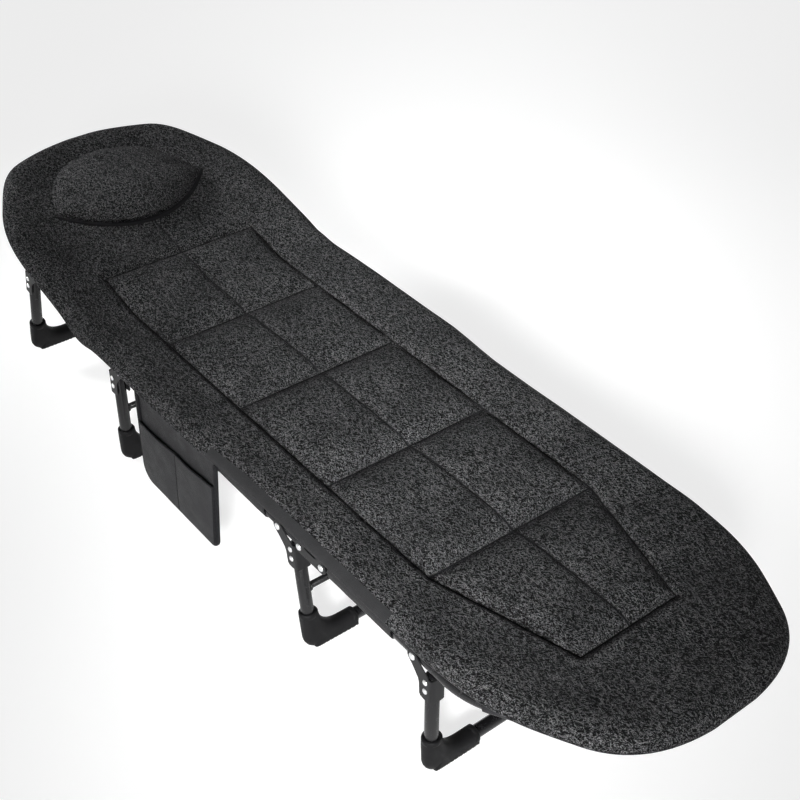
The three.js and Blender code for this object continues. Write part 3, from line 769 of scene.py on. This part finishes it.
def ripples(x, y, seed, scale):
    """Smooth uneven waves between -1 and 1, from a few crossing sines."""
    waves = np.random.default_rng(seed)
    total = np.zeros(np.shape(x))
    for _ in range(9):
        angle, phase = waves.uniform(0, 2 * math.pi, 2)
        size = scale * waves.uniform(0.6, 1.8)
        total = total + np.sin(2 * math.pi * (x * math.cos(angle) + y * math.sin(angle)) / size + phase)
    return total / 5


def rise(distance, reach, power=1.0):
    """0 on a seam, 1 well away from it."""
    return 1 - np.exp(-(np.maximum(distance, 0) / reach) ** power)


SEAM_Z = 0.2440            # the stitched lines, the rim and the underside, above the floor
RIM_Z = 0.2435
UNDER_Z = 0.2378


def over_hinge(px, py, reach, spread):
    """1 over either ratchet hinge, dying away around it."""
    return np.exp(-((px - HINGE.x) / reach) ** 2 - ((np.abs(py) - RAIL_Y) / spread) ** 2)


def mat_heights(px, py):
    """Heights of the mat's top and underside at each point of the flat cot."""
    edge = from_edge(px, py)
    near = [(PANEL_HEAD, -PANEL_HALF), (CROSS_SEAMS[-1], -PANEL_HALF), (PANEL_FOOT, -PANEL_END_HALF)]
    far = [(x, -y) for x, y in near[::-1]]
    panel = to_lines(np.array(near + far + near[:1]), px, py)
    side = np.interp(px, (CROSS_SEAMS[-1], PANEL_FOOT), (PANEL_HALF, PANEL_END_HALF))
    inside = (np.abs(py) < side) & (px > PANEL_HEAD) & (px < PANEL_FOOT)
    cross = np.min([np.abs(px - s) for s in CROSS_SEAMS], axis=0)
    middle = np.hypot(py, np.maximum(0, -0.60 - px) * 3)

    soft = 1 + 0.10 * ripples(px, py, 3, 0.22)
    tucks = ripples(px, py, 11, 0.022)
    humps = np.prod([np.where(px < s, rise(s - px, 0.017), rise(px - s, 0.031)) for s in CROSS_SEAMS],
                    axis=0)
    cell = rise(panel, 0.017) * humps * (0.62 + 0.38 * rise(middle, 0.010))
    quilt = SEAM_Z + 0.0205 * cell * soft
    crest = 0.0105 + 0.0070 * np.exp(-((edge - 0.034) / 0.042) ** 2)
    border = SEAM_Z + rise(panel, 0.011) * crest * soft
    border = border + 0.0110 * over_hinge(px, py, 0.034, 0.024)
    head = np.clip((PANEL_HEAD - px) / 0.02, 0, 1)
    border = border + 0.0030 * np.exp(-((panel - 0.012) / 0.009) ** 2) * (1 + head) * rise(panel, 0.004)
    border = border - 0.0022 * head * np.exp(-middle / 0.006) * (px > -0.64)
    top = np.where(inside, quilt, border)
    top = top + 0.0026 * tucks * np.exp(-panel / 0.016) * rise(panel, 0.003)
    top = top + 0.0009 * tucks * np.exp(-cross / 0.022) * inside * rise(cross, 0.004)
    top = top + 0.0006 * ripples(px, py, 21, 0.09)
    roll = np.clip(edge / 0.026, 0, 1)
    rim = RIM_Z - 0.0105 * over_hinge(px, RAIL_Y, 0.052, 1)
    top = rim + (top - rim) * np.sqrt(1 - (1 - roll) ** 2)

    inboard = np.clip((RAIL_Y - 0.022 - np.abs(py)) / 0.03, 0, 1) * np.clip((edge - 0.09) / 0.04, 0, 1)
    belly = 0.0065 * inboard * rise(panel, 0.02) * rise(cross, 0.02) * (0.6 + 0.4 * rise(np.abs(py), 0.015))
    under_roll = np.clip(edge / 0.010, 0, 1)
    under = UNDER_Z - belly * soft + 0.0004 * tucks * inboard
    under = np.minimum(under, rim - 0.001)
    under = rim - (rim - under) * np.sqrt(1 - (1 - under_roll) ** 2)
    level = np.clip((edge - 0.010) / 0.004, 0, 1) * over_hinge(px, RAIL_Y, 0.052, 1)
    under = under + (UNDER_Z - under) * level
    return top, under


def lift_backrest(x, y, z):
    """The flat mat turned up with the backrest, bending smoothly over the hinges."""
    t = np.clip((HINGE.x + BEND_REACH - x) / (2 * BEND_REACH), 0, 1)
    angle = math.radians(BACKREST_ANGLE) * t * t * (3 - 2 * t)
    dx, dz = x - HINGE.x, z - HINGE.z
    return (HINGE.x + dx * np.cos(angle) + dz * np.sin(angle), y,
            HINGE.z - dx * np.sin(angle) + dz * np.cos(angle))


def mat_stations():
    """The mesh's lines: along the mat, and across it as shares of the panel and of the border."""
    fine = np.array([0, 0.0004, 0.0011, 0.0022, 0.0038, 0.006, 0.009, 0.0135, 0.019])
    xs = list(np.arange(MAT_HEAD + 0.024, MAT_FOOT - 0.022, 0.0065))
    xs += [*(MAT_HEAD + fine), *(MAT_FOOT - fine)]
    seam = np.array([-0.011, -0.007, -0.004, -0.0018, 0, 0.0018, 0.004, 0.007, 0.011])
    for s in (PANEL_HEAD, PANEL_FOOT, *CROSS_SEAMS, CUTS[1]):
        xs = [x for x in xs if abs(x - s) > 0.0125] + list(s + seam)
    chosen = [MAT_HEAD]
    for x in sorted(xs):
        if x - chosen[-1] > 0.0003:
            chosen.append(x)
    inner = np.array([0, 1.2, 2.6, 4.5, 7, 11, 16, 22, 30, 38, 47, 56, 65, 74, 83, 92, 101, 110, 118, 126,
                      134, 141, 147, 152, 156.5, 160, 163, 165.3, 166.9, 168]) / 168
    outer = np.array([0, 1.2, 2.8, 5, 8, 12, 17, 23, 30, 37, 44, 51, 58, 65, 72, 78, 83.5, 88.5, 93, 97,
                      100.5, 103.6, 106.3, 108.7, 110.8, 112.6, 114.1, 115.4, 116.4, 117.2, 117.7, 118]) / 118
    return np.array(chosen), inner, outer[1:]


def mat_faces(up, down, flap, cuts):
    """Faces of one piece of the mat, and the material of each: 0 on top, 1 below, 2 on the flap.

    up and down number the points of its grids, and cuts says if the first and last row are cut ends."""
    rows, m = up.shape
    faces, marks = [], []
    for i in range(rows - 1):
        for j in range(m - 1):
            faces.append((up[i, j], up[i + 1, j], up[i + 1, j + 1], up[i, j + 1]))
            marks.append(2 if flap[i:i + 2, j:j + 2].all() else 0)
            faces.append((down[i, j], down[i, j + 1], down[i + 1, j + 1], down[i + 1, j]))
            marks.append(1)
    for i, cut in zip((0, rows - 1), cuts):
        for j in range(m - 1 if cut else 0):
            quad = [up[i, j], up[i, j + 1], down[i, j + 1], down[i, j]]
            quad = [v for k, v in enumerate(quad) if v not in quad[:k]]
            faces.append(tuple(quad if i == 0 else quad[::-1]))
            marks.append(1)
    return faces, marks


def mat_piece(name, tops, unders, normals, flap, cuts):
    """One piece of the mat, from its rows of top and underside points."""
    rows, m = flap.shape
    rim = np.zeros((rows, m), bool)
    rim[:, 0] = rim[:, -1] = True
    rim[0] |= not cuts[0]
    rim[-1] |= not cuts[1]
    up = np.arange(rows * m).reshape(rows, m)
    faces, marks = mat_faces(up, np.where(rim, up, up + rows * m), flap, cuts)
    used = np.zeros(2 * rows * m, bool)
    for face in faces:
        used[list(face)] = True
    index = np.cumsum(used) - 1
    verts = np.concatenate([tops.reshape(-1, 3), unders.reshape(-1, 3)])
    directions = np.concatenate([grid.reshape(-1, 3) for grid in normals])
    faces = [tuple(int(index[v]) for v in face) for face in faces]
    piece = make(f"quilted_mat_{name}", verts[used], faces, MELANGE, "mat_fabric")
    piece.data.materials.append(NYLON)
    piece.data.materials.append(BAND_CLOTH)
    piece.data.polygons.foreach_set("material_index", np.array(marks, np.int32))
    piece.data.normals_split_custom_set_from_vertices([tuple(v) for v in directions[used]])
    return piece


def build_mat():
    """The whole mat as one surface, then cut into three pieces."""
    xs, inner, outer = mat_stations()
    p, w = panel_half(xs)[:, None], half_width(xs)[:, None]
    half = np.concatenate([p * inner[None, :], p + (w - p) * outer[None, :]], axis=1)
    ys = np.concatenate([-half[:, :0:-1], half], axis=1)
    px = np.repeat(xs[:, None], ys.shape[1], axis=1)
    top, under = mat_heights(px, ys)
    tops = np.stack(lift_backrest(px, ys, top), axis=-1)
    unders = np.stack(lift_backrest(px, ys, under), axis=-1)
    normals = grid_normals(tops), -grid_normals(unders)
    flap = (from_edge(px, ys) < FLAP_HIGH) & (px > FLAP[0]) & (px < FLAP[1])
    ends = [0, *[int(np.argmin(np.abs(xs - c))) for c in CUTS], len(xs) - 1]
    pieces = []
    for number, name in enumerate(("head", "middle", "foot")):
        rows = slice(ends[number], ends[number + 1] + 1)
        pieces.append(mat_piece(name, tops[rows], unders[rows], [grid[rows] for grid in normals], flap[rows],
                                (number > 0, number < 2)))
    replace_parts(pieces[0], "mat_head", "mat_middle")
    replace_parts(pieces[2], "mat_foot")
    half_link = (LINK_FOOT.x - LINK_MID.x) / 2
    bends = (
        # name, the stretch it covers, body it starts on, body it ends on, and x and z of the bend's two ends
        ("head", (MAT_HEAD, CUTS[0]), "mid", "head",
         (HINGE.x + BEND_REACH, HINGE.z), (HINGE.x - BEND_REACH, HINGE.z)),
        ("middle", (CUTS[0] + 0.001, CUTS[1]), "mid", "fold_links",
         (LINK_MID.x - half_link, RAIL_Z), (CUTS[1], RAIL_Z)),
        ("foot", (CUTS[1] + 0.001, MAT_FOOT), "fold_links", "foot",
         (CUTS[1], RAIL_Z), (LINK_FOOT.x + half_link, RAIL_Z)),
    )
    for piece, (name, stretch, near, far, start, end) in zip(pieces, bends):
        for part in (piece, build_seams(*stretch, name)):
            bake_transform(part)


def seam_paths():
    """The stitched lines as flat (x, y) points: the panel's edge, its middle and the lines across it."""
    paths = []
    for side in (-1, 1):
        paths.append([(PANEL_HEAD, side * PANEL_HALF), (CROSS_SEAMS[-1], side * PANEL_HALF),
                      (PANEL_FOOT, side * PANEL_END_HALF)])
    paths.append([(-0.60, 0), (PANEL_FOOT, 0)])
    paths.append([(PANEL_HEAD, -PANEL_HALF), (PANEL_HEAD, PANEL_HALF)])
    paths += [[(x, -PANEL_HALF), (x, PANEL_HALF)] for x in CROSS_SEAMS]
    paths.append([(PANEL_FOOT, -PANEL_END_HALF), (PANEL_FOOT, PANEL_END_HALF)])
    fine = []
    for path in paths:
        points = [path[0]]
        for (ax, ay), (bx, by) in zip(path[:-1], path[1:]):
            steps = max(round(math.hypot(bx - ax, by - ay) / 0.007), 1)
            points += [(ax + (bx - ax) * k / steps, ay + (by - ay) * k / steps) for k in range(1, steps + 1)]
        fine.append(points)
    return fine


def build_seams(low, high, name):
    """The sunk seam lines of the mat between two cuts: near-black cords on the stitching, which also paint
    the shade in the seams' crevices as crisp dark lines.
    """
    section = [(0.0018 * math.cos(math.radians(a)), 0.0010 * math.sin(math.radians(a)))
               for a in range(0, 360, 45)]
    parts = []
    for path in seam_paths():
        inside = [p for p in path if low <= p[0] <= high]
        if len(inside) < 2:
            continue
        px, py = np.array(inside).T
        top, _ = mat_heights(px, py)
        parts.append(swept(list(zip(*lift_backrest(px, py, top + 0.0006))), section, (0, 0, 1)))
    return make(f"mat_seams_{name}", *join_parts(*parts), THREAD_AND_SHADE, "mat_fabric")


def grid_normals(points):
    """Upward unit normals of a grid of points."""
    along = np.gradient(points, axis=0)
    across = np.gradient(points, axis=1)
    normal = np.cross(along, across)
    return normal / np.maximum(np.linalg.norm(normal, axis=-1, keepdims=True), 1e-12)


# ---- the pillow ----------------------------------------------------------------------------------

PILLOW_TIP, PILLOW_LIP, PILLOW_BACK, PILLOW_HALF = -0.712, -0.619, -0.872, 0.163
PILLOW_BASE = 0.2515
PILLOW_SLICE = 44           # points round one slice
CREASE_STEPS = 40
SWELL_VOXEL, SWELL_PRESSURE, SWELL_CAP, SWELL_FRAMES = 0.005, 4.0, 0.006, 20
PILLOW_HIGH = 0.047         # at its lip


def settled(obj, pinned):
    """Swells a closed fabric shape with simulated cloth, no point moving further than SWELL_CAP."""
    even = obj.modifiers.new("even", "REMESH")
    even.mode, even.voxel_size = "VOXEL", SWELL_VOXEL
    replace_mesh(obj)
    start = points_of(obj.data)
    group = obj.vertex_groups.new(name="pinned")
    group.add([i for i, co in enumerate(start) if pinned(co)], 1.0, "REPLACE")
    cloth = obj.modifiers.new("fill", "CLOTH")
    settings = cloth.settings
    settings.quality, settings.mass, settings.vertex_group_mass = 6, 0.2, "pinned"
    settings.tension_stiffness = settings.compression_stiffness = 20
    settings.shear_stiffness, settings.bending_stiffness = 8, 0.4
    settings.use_pressure, settings.uniform_pressure_force = True, SWELL_PRESSURE
    settings.effector_weights.gravity = 0
    cloth.collision_settings.use_collision = False
    cloth.point_cache.frame_start, cloth.point_cache.frame_end = 1, SWELL_FRAMES
    for number in range(1, SWELL_FRAMES + 1):
        bpy.context.scene.frame_set(number)
    swollen = obj.evaluated_get(bpy.context.evaluated_depsgraph_get())
    moved = points_of(swollen.data) - start
    length = np.linalg.norm(moved, axis=1, keepdims=True)
    obj.modifiers.remove(cloth)
    obj.vertex_groups.remove(group)
    bpy.context.scene.frame_set(1)
    moved *= np.minimum(1, SWELL_CAP / np.maximum(length, 1e-9))
    obj.data.vertices.foreach_set("co", (start + moved).ravel())
    smooth = obj.modifiers.new("finer", "SUBSURF")
    smooth.levels = smooth.render_levels = 1
    replace_mesh(obj)


def points_of(mesh):
    flat = np.empty(len(mesh.vertices) * 3)
    mesh.vertices.foreach_get("co", flat)
    return flat.reshape(-1, 3)


def replace_mesh(obj):
    """Applies every modifier on the object."""
    graph = bpy.context.evaluated_depsgraph_get()
    mesh = bpy.data.meshes.new_from_object(obj.evaluated_get(graph))
    obj.modifiers.clear()
    obj.data = mesh
    mesh.shade_smooth()


def pillow_lip(v):
    """Where the lip runs, for v from -1 at one tip to 1 at the other."""
    return PILLOW_LIP + (PILLOW_TIP - PILLOW_LIP) * abs(v) ** 2.1


def pillow_section(plump):
    """(along, height) points round one slice: a round nose at 1 that runs out thin to 0."""
    high = PILLOW_HIGH * plump
    nose = 0.5 * high / 0.2
    points = []
    for k in range(PILLOW_SLICE):
        a = 2 * math.pi * k / PILLOW_SLICE
        u = 0.5 + 0.5 * math.copysign(abs(math.cos(a)) ** 0.9, math.cos(a))
        rounding = max(1 - ((u - 1 + nose) / nose) ** 2, 0) ** 0.5 if u > 1 - nose else 1
        body = high * (0.16 + 0.84 * u ** 0.9) * rounding * min(u / 0.06, 1) ** 0.6
        middle = 0.42 * high * max(u - 1 + nose, 0) / nose
        up = math.sin(a)
        height = middle + (body - middle) * up ** 0.45 if up > 0 else middle * (1 - abs(up) ** 0.45)
        points.append((u, height))
    return points


def build_pillow():
    """A half-moon cushion sewn on at the head: its lip overhangs, its back runs out flat."""
    lines = 72
    verts = []
    for i in range(lines + 1):
        v = math.sin((-1 + 2 * i / lines) * math.pi / 2)
        lip = pillow_lip(v)
        back = PILLOW_TIP + (PILLOW_BACK - PILLOW_TIP) * max(1 - abs(v) ** 2.4, 0) ** 0.62
        section = pillow_section(0.06 + 0.94 * max(1 - abs(v) ** 2.2, 0) ** 0.6)
        verts.extend((back + (lip - back) * u, PILLOW_HALF * v, PILLOW_BASE + h) for u, h in section)
    faces = closed_rings(lines + 1, PILLOW_SLICE, (0, 3, 2, 1), inside_out=True)
    cushion = make("head_pillow", verts, faces, PILLOW_CLOTH, "pillow_fabric")
    settled(cushion, lambda co: co[2] < PILLOW_BASE + 0.001)
    cushion.data.transform(HEAD_TURN)
    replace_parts(cushion, "pillow")
    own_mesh(cushion)
    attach(cushion, "head")

    # painted shade: a near-black cord along the foot of the lip, thickest in the middle, stands for the dark
    # crease under the overhanging lip
    crease = []
    for i in range(CREASE_STEPS + 1):
        v = math.sin((-1 + 2 * i / CREASE_STEPS) * math.pi / 2)
        crease.append((pillow_lip(v) + 0.0020, (PILLOW_HALF + 0.008) * v, PILLOW_BASE + 0.0038))

    def lip_shade_section(i):
        return circle(0.0012 + 0.0042 * math.sin(math.pi * min(i + 1, 43) / 44) ** 0.6, 12)

    lip_shade = make("pillow_lip_shade", *swept(crease, lip_shade_section, (0, 0, 1)), THREAD_AND_SHADE, "pillow_fabric",
                place=HEAD_TURN)
    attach(lip_shade, "head")


# ---- fabric round the rails ----------------------------------------------------------------------

CLOTH = 0.0012              # thickness of the cloth of the bands and the pocket
BANDS = {
    # body, place, and where it starts and ends
    "head": ("head", HEAD_TURN, -0.569, -0.470),
    "middle": ("mid", FLAT, -0.252, 0.192),
    "foot": ("foot", FLAT, 0.364, 0.518),
}


def wrap_section(side, sag, drawn):
    """The oxford sleeve from under the mat's rim, round the rail, and up inside it."""
    path = [(0.0225 - drawn, 0.0180), (0.0195 - 0.5 * drawn, 0.0120), (0.0160 - 0.1 * drawn, 0.0055)]
    path += arc(0, -0.0004 - sag * 0.5, 0.0135, 8, -172, 15)
    path += [(-0.0145, 0.0040), (-0.0175, 0.0118)]
    inner = []
    for i, (a, b) in enumerate(path):
        before, after = path[max(i - 1, 0)], path[min(i + 1, len(path) - 1)]
        da, db = after[0] - before[0], after[1] - before[1]
        length = math.hypot(da, db)
        inner.append((a + CLOTH * db / length, b - CLOTH * da / length))
    ring = path + inner[::-1]
    return [(-side * a, b) for a, b in (ring if side > 0 else ring[::-1])]


def build_wraps():
    """Grey oxford bands that tie the mat to the rails, left open round the legs and links."""
    for name, (body, place, start, end) in BANDS.items():
        for word, side in SIDES.items():
            steps = max(int((end - start) / 0.006), 4)
            points = [on_rail(start + (end - start) * i / steps, side * RAIL_Y)
                      for i in range(steps + 1)]
            sags = [0.0012 * float(ripples(p[0], side * 0.3, 41, 0.06)) for p in points]
            drawn = [float(tuck(p[0])) for p in points]
            shape = swept(points, lambda i: wrap_section(side, sags[i], drawn[i]), (0, 0, 1))
            band = make(f"rail_band_{name}_{word}", *shape, BAND_CLOTH, "oxford", place=place)
            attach(band, body)
    for name, body, place, line, limit in (
            ("head", "head", HEAD_TURN, HEAD_LINE, -0.735), ("foot", "foot", FLAT, FOOT_LINE, 0.692)):
        fine = []
        for a, b in zip(line[:-1], line[1:]):
            steps = max(int((b - a).length / 0.006), 1)
            fine += [a.lerp(b, k / steps) for k in range(steps)]
        fine.append(line[-1])
        kept = [p for p in fine if (p.x < limit if limit < 0 else p.x > limit)]
        radii = [0.0134 + 0.0008 * float(ripples(p.x, p.y, 47, 0.035)) for p in kept]
        cloth = make(f"end_sleeve_{name}", *swept(kept, lambda i: circle(radii[i], 28), (0, 0, 1)),
                     NYLON, "oxford", place=place)
        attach(cloth, body)


# ---- side pocket and storage straps ---------------------------------------------------------------

POCKET_LOW, POCKET_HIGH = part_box("pocket_back")
POCKET_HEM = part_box("pocket_front")[1].z
POCKET_RISE = 0.016         # the hem climbs this much towards the foot end
POCKET_FLARE = 0.08         # and the foot-end edge leans out this much for each metre up
POCKET_R = 0.030
POCKET_RIGHT = POCKET_HIGH.x - POCKET_FLARE * (POCKET_HIGH.z - POCKET_LOW.z)


def pocket_right(z):
    return POCKET_RIGHT + POCKET_FLARE * (z - POCKET_LOW.z)


def pocket_share(x, z):
    """0 at the pocket's head-end edge, 1 at its foot-end edge."""
    return min(max((x - POCKET_LOW.x) / (pocket_right(z) - POCKET_LOW.x), 0), 1)


def hem_height(share):
    return POCKET_HEM - POCKET_RISE * (1 - share)


def pocket_edge(inset=0.0, top=None):
    """The pocket's sides and bottom, from the top at the head end round to the top at the foot end."""
    x0, x1 = POCKET_LOW.x + inset, POCKET_RIGHT - inset
    z0, z1 = POCKET_LOW.z + inset, POCKET_HIGH.z if top is None else top
    r = POCKET_R - inset
    q = r * 0.6
    left = [(x0, z1 + (z0 + r - z1) * k / 14) for k in range(14)]
    corner = arc(x0 + r, z0 + r, r, 180, 270, 10)
    base = [(x0 + r + (x1 - x0 - 2 * r) * k / 16, z0) for k in range(1, 16)]
    other = arc(x1 - q, z0 + q, q, 270, 360, 10)
    right = [(x1, z0 + q + (z1 - z0 - q) * k / 14) for k in range(1, 15)]
    edge = left + corner + base + other + right
    return [(x + POCKET_FLARE * (z - z0) * (x > x1 - q), z) for x, z in edge]


def cloth_panel(name, y_at, top, inset, thick, columns=56, rows=44):
    """A panel of the pocket's outline, up to top(share); y_at(x, z) is its outer face."""
    x0, x1 = POCKET_LOW.x + inset, POCKET_RIGHT - inset
    z0 = POCKET_LOW.z + inset
    r = POCKET_R - inset
    q = r * 0.6
    verts, faces = [], []

    def floor_at(x):
        if x < x0 + r:
            return z0 + r - math.sqrt(max(r * r - (x0 + r - x) ** 2, 0))
        if x > x1 - q:
            return z0 + q - math.sqrt(max(q * q - (x - x1 + q) ** 2, 0))
        return z0

    for layer in (0, thick):
        for i in range(columns + 1):
            t = i / columns - 0.06 * math.sin(2 * math.pi * i / columns)
            low = floor_at(x0 + (x1 - x0) * t)
            for k in range(rows + 1):
                z = low + (top(t) - low) * k / rows
                x = x0 + (x1 + POCKET_FLARE * (z - z0) - x0) * t
                verts.append((x, y_at(x, z) + layer, z))
    size = (columns + 1) * (rows + 1)

    def at(layer, i, k):
        return layer * size + i * (rows + 1) + k

    for i in range(columns):
        for k in range(rows):
            faces.append((at(0, i, k), at(0, i + 1, k), at(0, i + 1, k + 1), at(0, i, k + 1)))
            faces.append((at(1, i, k), at(1, i, k + 1), at(1, i + 1, k + 1), at(1, i + 1, k)))
    for i in range(columns):
        faces.append((at(0, i, rows), at(0, i + 1, rows), at(1, i + 1, rows), at(1, i, rows)))
        faces.append((at(0, i, 0), at(1, i, 0), at(1, i + 1, 0), at(0, i + 1, 0)))
    for k in range(rows):
        faces.append((at(0, 0, k), at(0, 0, k + 1), at(1, 0, k + 1), at(1, 0, k)))
        faces.append((at(0, columns, k), at(1, columns, k), at(1, columns, k + 1), at(0, columns, k + 1)))
    return make(name, verts, faces, OXFORD, "oxford")


def tape(points, half_wide, half_thick):
    """A flat rounded tape along points of the pocket's plane; its width lies in that plane."""
    ring = [(half_wide * math.copysign(abs(math.cos(a)) ** 0.5, math.cos(a)),
             half_thick * math.copysign(abs(math.sin(a)) ** 0.7, math.sin(a)))
            for a in (2 * math.pi * k / 16 for k in range(16))]
    return swept(points, ring, (0, 1, 0))


def build_pocket():
    back_y = POCKET_LOW.y
    height = POCKET_HEM - POCKET_LOW.z
    top = POCKET_HIGH.z + 0.004

    def back_face(x, z):
        return back_y + 0.0008 * float(ripples(x, z, 51, 0.09))

    def front_face(x, z):
        share = pocket_share(x, z)
        rooms = abs(math.sin(2 * math.pi * share)) ** 0.7
        up = max(min((z - POCKET_LOW.z) / height, 1), 0)
        gape = rooms * (0.0030 * math.sin(math.pi * min(up * 1.1, 1)) + 0.0032 * up ** 3)
        flat = 0.0022 * math.sin(math.pi * share) ** 0.5 if 0 < share < 1 else 0
        return back_y - 0.0042 - gape - flat + 0.0005 * float(ripples(x, z, 53, 0.06))

    def on_front(share, z, proud):
        x = POCKET_LOW.x + (pocket_right(z) - POCKET_LOW.x) * share
        return x, front_face(x, z) + proud, z

    rear = cloth_panel("pocket_rear_cloth", back_face, lambda share: top, 0.0005, CLOTH)
    pouch = cloth_panel("pocket_pouch_cloth", front_face, hem_height, 0.0012, CLOTH)

    edge = [(x, back_y - 0.0015, z) for x, z in pocket_edge(0.0012)]
    trim = make("pocket_binding", *tape(edge, 0.0042, 0.0036), BINDING, "webbing")
    hem_line = [on_front(0.008 + 0.984 * k / 60, hem_height(k / 60) - 0.001, 0.0002) for k in range(61)]
    hem = make("pocket_hem", *tape(hem_line, 0.0020, 0.0016), BINDING, "webbing")
    seam_low, seam_rise = POCKET_LOW.z + 0.004, hem_height(0.5) - POCKET_LOW.z - 0.006
    seam_line = [on_front(0.5, seam_low + seam_rise * k / 30, -0.0001) for k in range(31)]
    divider = make("pocket_divider_seam", *tape(seam_line, 0.0011, 0.0006), THREAD_AND_SHADE, "webbing")
    # a near-black binding strip closes the pouch's foot-end side; its dark colour is partly the binding's own
    # and partly painted shade of that side face
    gusset_line = [(x, z) for x, z in pocket_edge(0.0016, POCKET_HEM) if x > POCKET_RIGHT - 0.0024]
    gusset = [(x, back_y - 0.0050, z) for x, z in gusset_line]
    side = make("pocket_gusset", *tape(gusset, 0.0014, 0.0052), BINDING, "webbing")
    for piece in (rear, pouch, trim, hem, divider, side):
        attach(piece, "mid")
    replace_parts(rear, "pocket_back")
    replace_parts(pouch, "pocket_front")


def build_straps():
    for word, side in SIDES.items():
        low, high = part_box(f"storage_strap_{word}")
        y = side * RAIL_Y
        loop = pipe((low.x, y, RAIL_Z), (high.x, y, RAIL_Z), 0.0142, 0.0158)
        strap = make(f"strap_loop_{word}", *loop, WEBBING, "webbing")
        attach(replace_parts(strap, f"storage_strap_{word}"), "mid")


# ---- carried-over CAD pieces ---------------------------------------------------------------------

def dress_cad_nodes():
    for word in SIDES:
        for node in (f"mid_rail_cap_{word}", f"foot_frame_cap_{word}"):
            obj = frame["nodes"][node]
            obj.data.materials.clear()
            obj.data.materials.append(PLASTIC)
            soften(obj, 0.0005)


# ---- room, light and camera ----------------------------------------------------------------------

FLOOR_REACH = 60
SKY = (("From Min", 0.18), ("From Max", 0.50), ("To Min", 0.60), ("To Max", 0.20))
LIGHTS = {
    # place, target, size, watts, spread in degrees
    "key": ((2.1, -1.75, 1.35), (0.20, 0.02, 0.25), 0.9, 8.5, 25),
    "fill": ((-0.6, -2.6, 2.0), (-0.2, 0, 0.2), 2.4, 5, 180),
    "back": ((-2.0, 2.2, 2.4), (-0.1, 0, 0.2), 2.0, 5, 180),
    "head": ((-2.4, -1.6, 1.5), (-0.80, 0, 0.3), 0.7, 3.2, 30),
}
CAMERA_PLACE = (1.5585, -1.1011, 1.6763)
CAMERA_TURN = (51.12, 37.55, 1.01)          # azimuth, elevation and roll, in degrees
CAMERA_LENS = 60.58


def build_stage():
    """A white floor that fills the shade on it, under a studio sky that is brightest at the horizon."""
    floor_mesh = bpy.data.meshes.new("pale_floor")
    corners = [(x * FLOOR_REACH, y * FLOOR_REACH, 0) for x, y in ((-1, -1), (1, -1), (1, 1), (-1, 1))]
    floor_mesh.from_pydata(corners, [], [(0, 1, 2, 3)])
    floor = bpy.data.objects.new("pale_floor", floor_mesh)
    bpy.context.scene.collection.objects.link(floor)
    finish = Surface("pale_floor", (0.40, 0.40, 0.40), 0.9, specular=0.1, Emission_Strength=0.72)
    finish.shader.inputs["Emission Color"].default_value = (1, 1, 1, 1)
    floor_mesh.materials.append(finish.material)
    floor.location.z = -0.0005
    floor.visible_diffuse = False

    world = bpy.data.worlds.new("studio")
    world.use_nodes = True
    tree = world.node_tree
    way = tree.nodes.new("ShaderNodeTexCoord").outputs["Generated"]
    split = tree.nodes.new("ShaderNodeSeparateXYZ")
    fade = tree.nodes.new("ShaderNodeMapRange")
    tree.links.new(way, split.inputs["Vector"])
    tree.links.new(split.outputs["Z"], fade.inputs["Value"])
    for socket, value in SKY:
        fade.inputs[socket].default_value = value
    tree.links.new(fade.outputs["Result"], tree.nodes["Background"].inputs["Strength"])
    tree.nodes["Background"].inputs["Color"].default_value = (1, 1, 1, 1)
    bpy.context.scene.world = world
    bpy.context.scene.view_settings.view_transform = "Standard"


def area_light(name, location, target, size, power, spread):
    data = bpy.data.lights.new(name, "AREA")
    data.shape, data.size, data.energy, data.spread = "DISK", size, power, math.radians(spread)
    lamp = bpy.data.objects.new(name, data)
    bpy.context.scene.collection.objects.link(lamp)
    lamp.location = location
    lamp.rotation_euler = (Vector(target) - Vector(location)).to_track_quat("-Z", "Y").to_euler()


def build_camera():
    """The camera's place, its azimuth and elevation, its roll, and its lens."""
    azimuth, elevation, roll = (math.radians(a) for a in CAMERA_TURN)
    back = Vector((math.sin(azimuth) * math.cos(elevation), -math.cos(azimuth) * math.cos(elevation),
                   math.sin(elevation)))
    level = Vector((math.cos(azimuth), math.sin(azimuth), 0))
    upward = back.cross(level)
    right = math.cos(roll) * level + math.sin(roll) * upward
    up = math.cos(roll) * upward - math.sin(roll) * level
    data = bpy.data.cameras.new("camera")
    data.lens, data.sensor_width = CAMERA_LENS, 36
    camera = bpy.data.objects.new("camera", data)
    bpy.context.scene.collection.objects.link(camera)
    turned = Matrix((right, up, back)).transposed().to_4x4()
    camera.matrix_world = Matrix.Translation(CAMERA_PLACE) @ turned
    bpy.context.scene.camera = camera


build_camera()
build_stage()
for light, setting in LIGHTS.items():
    area_light(light, *setting)
build_frame()
build_hinges()
build_links()
build_legs()
build_mat()
build_pillow()
build_wraps()
build_pocket()
build_straps()
dress_cad_nodes()
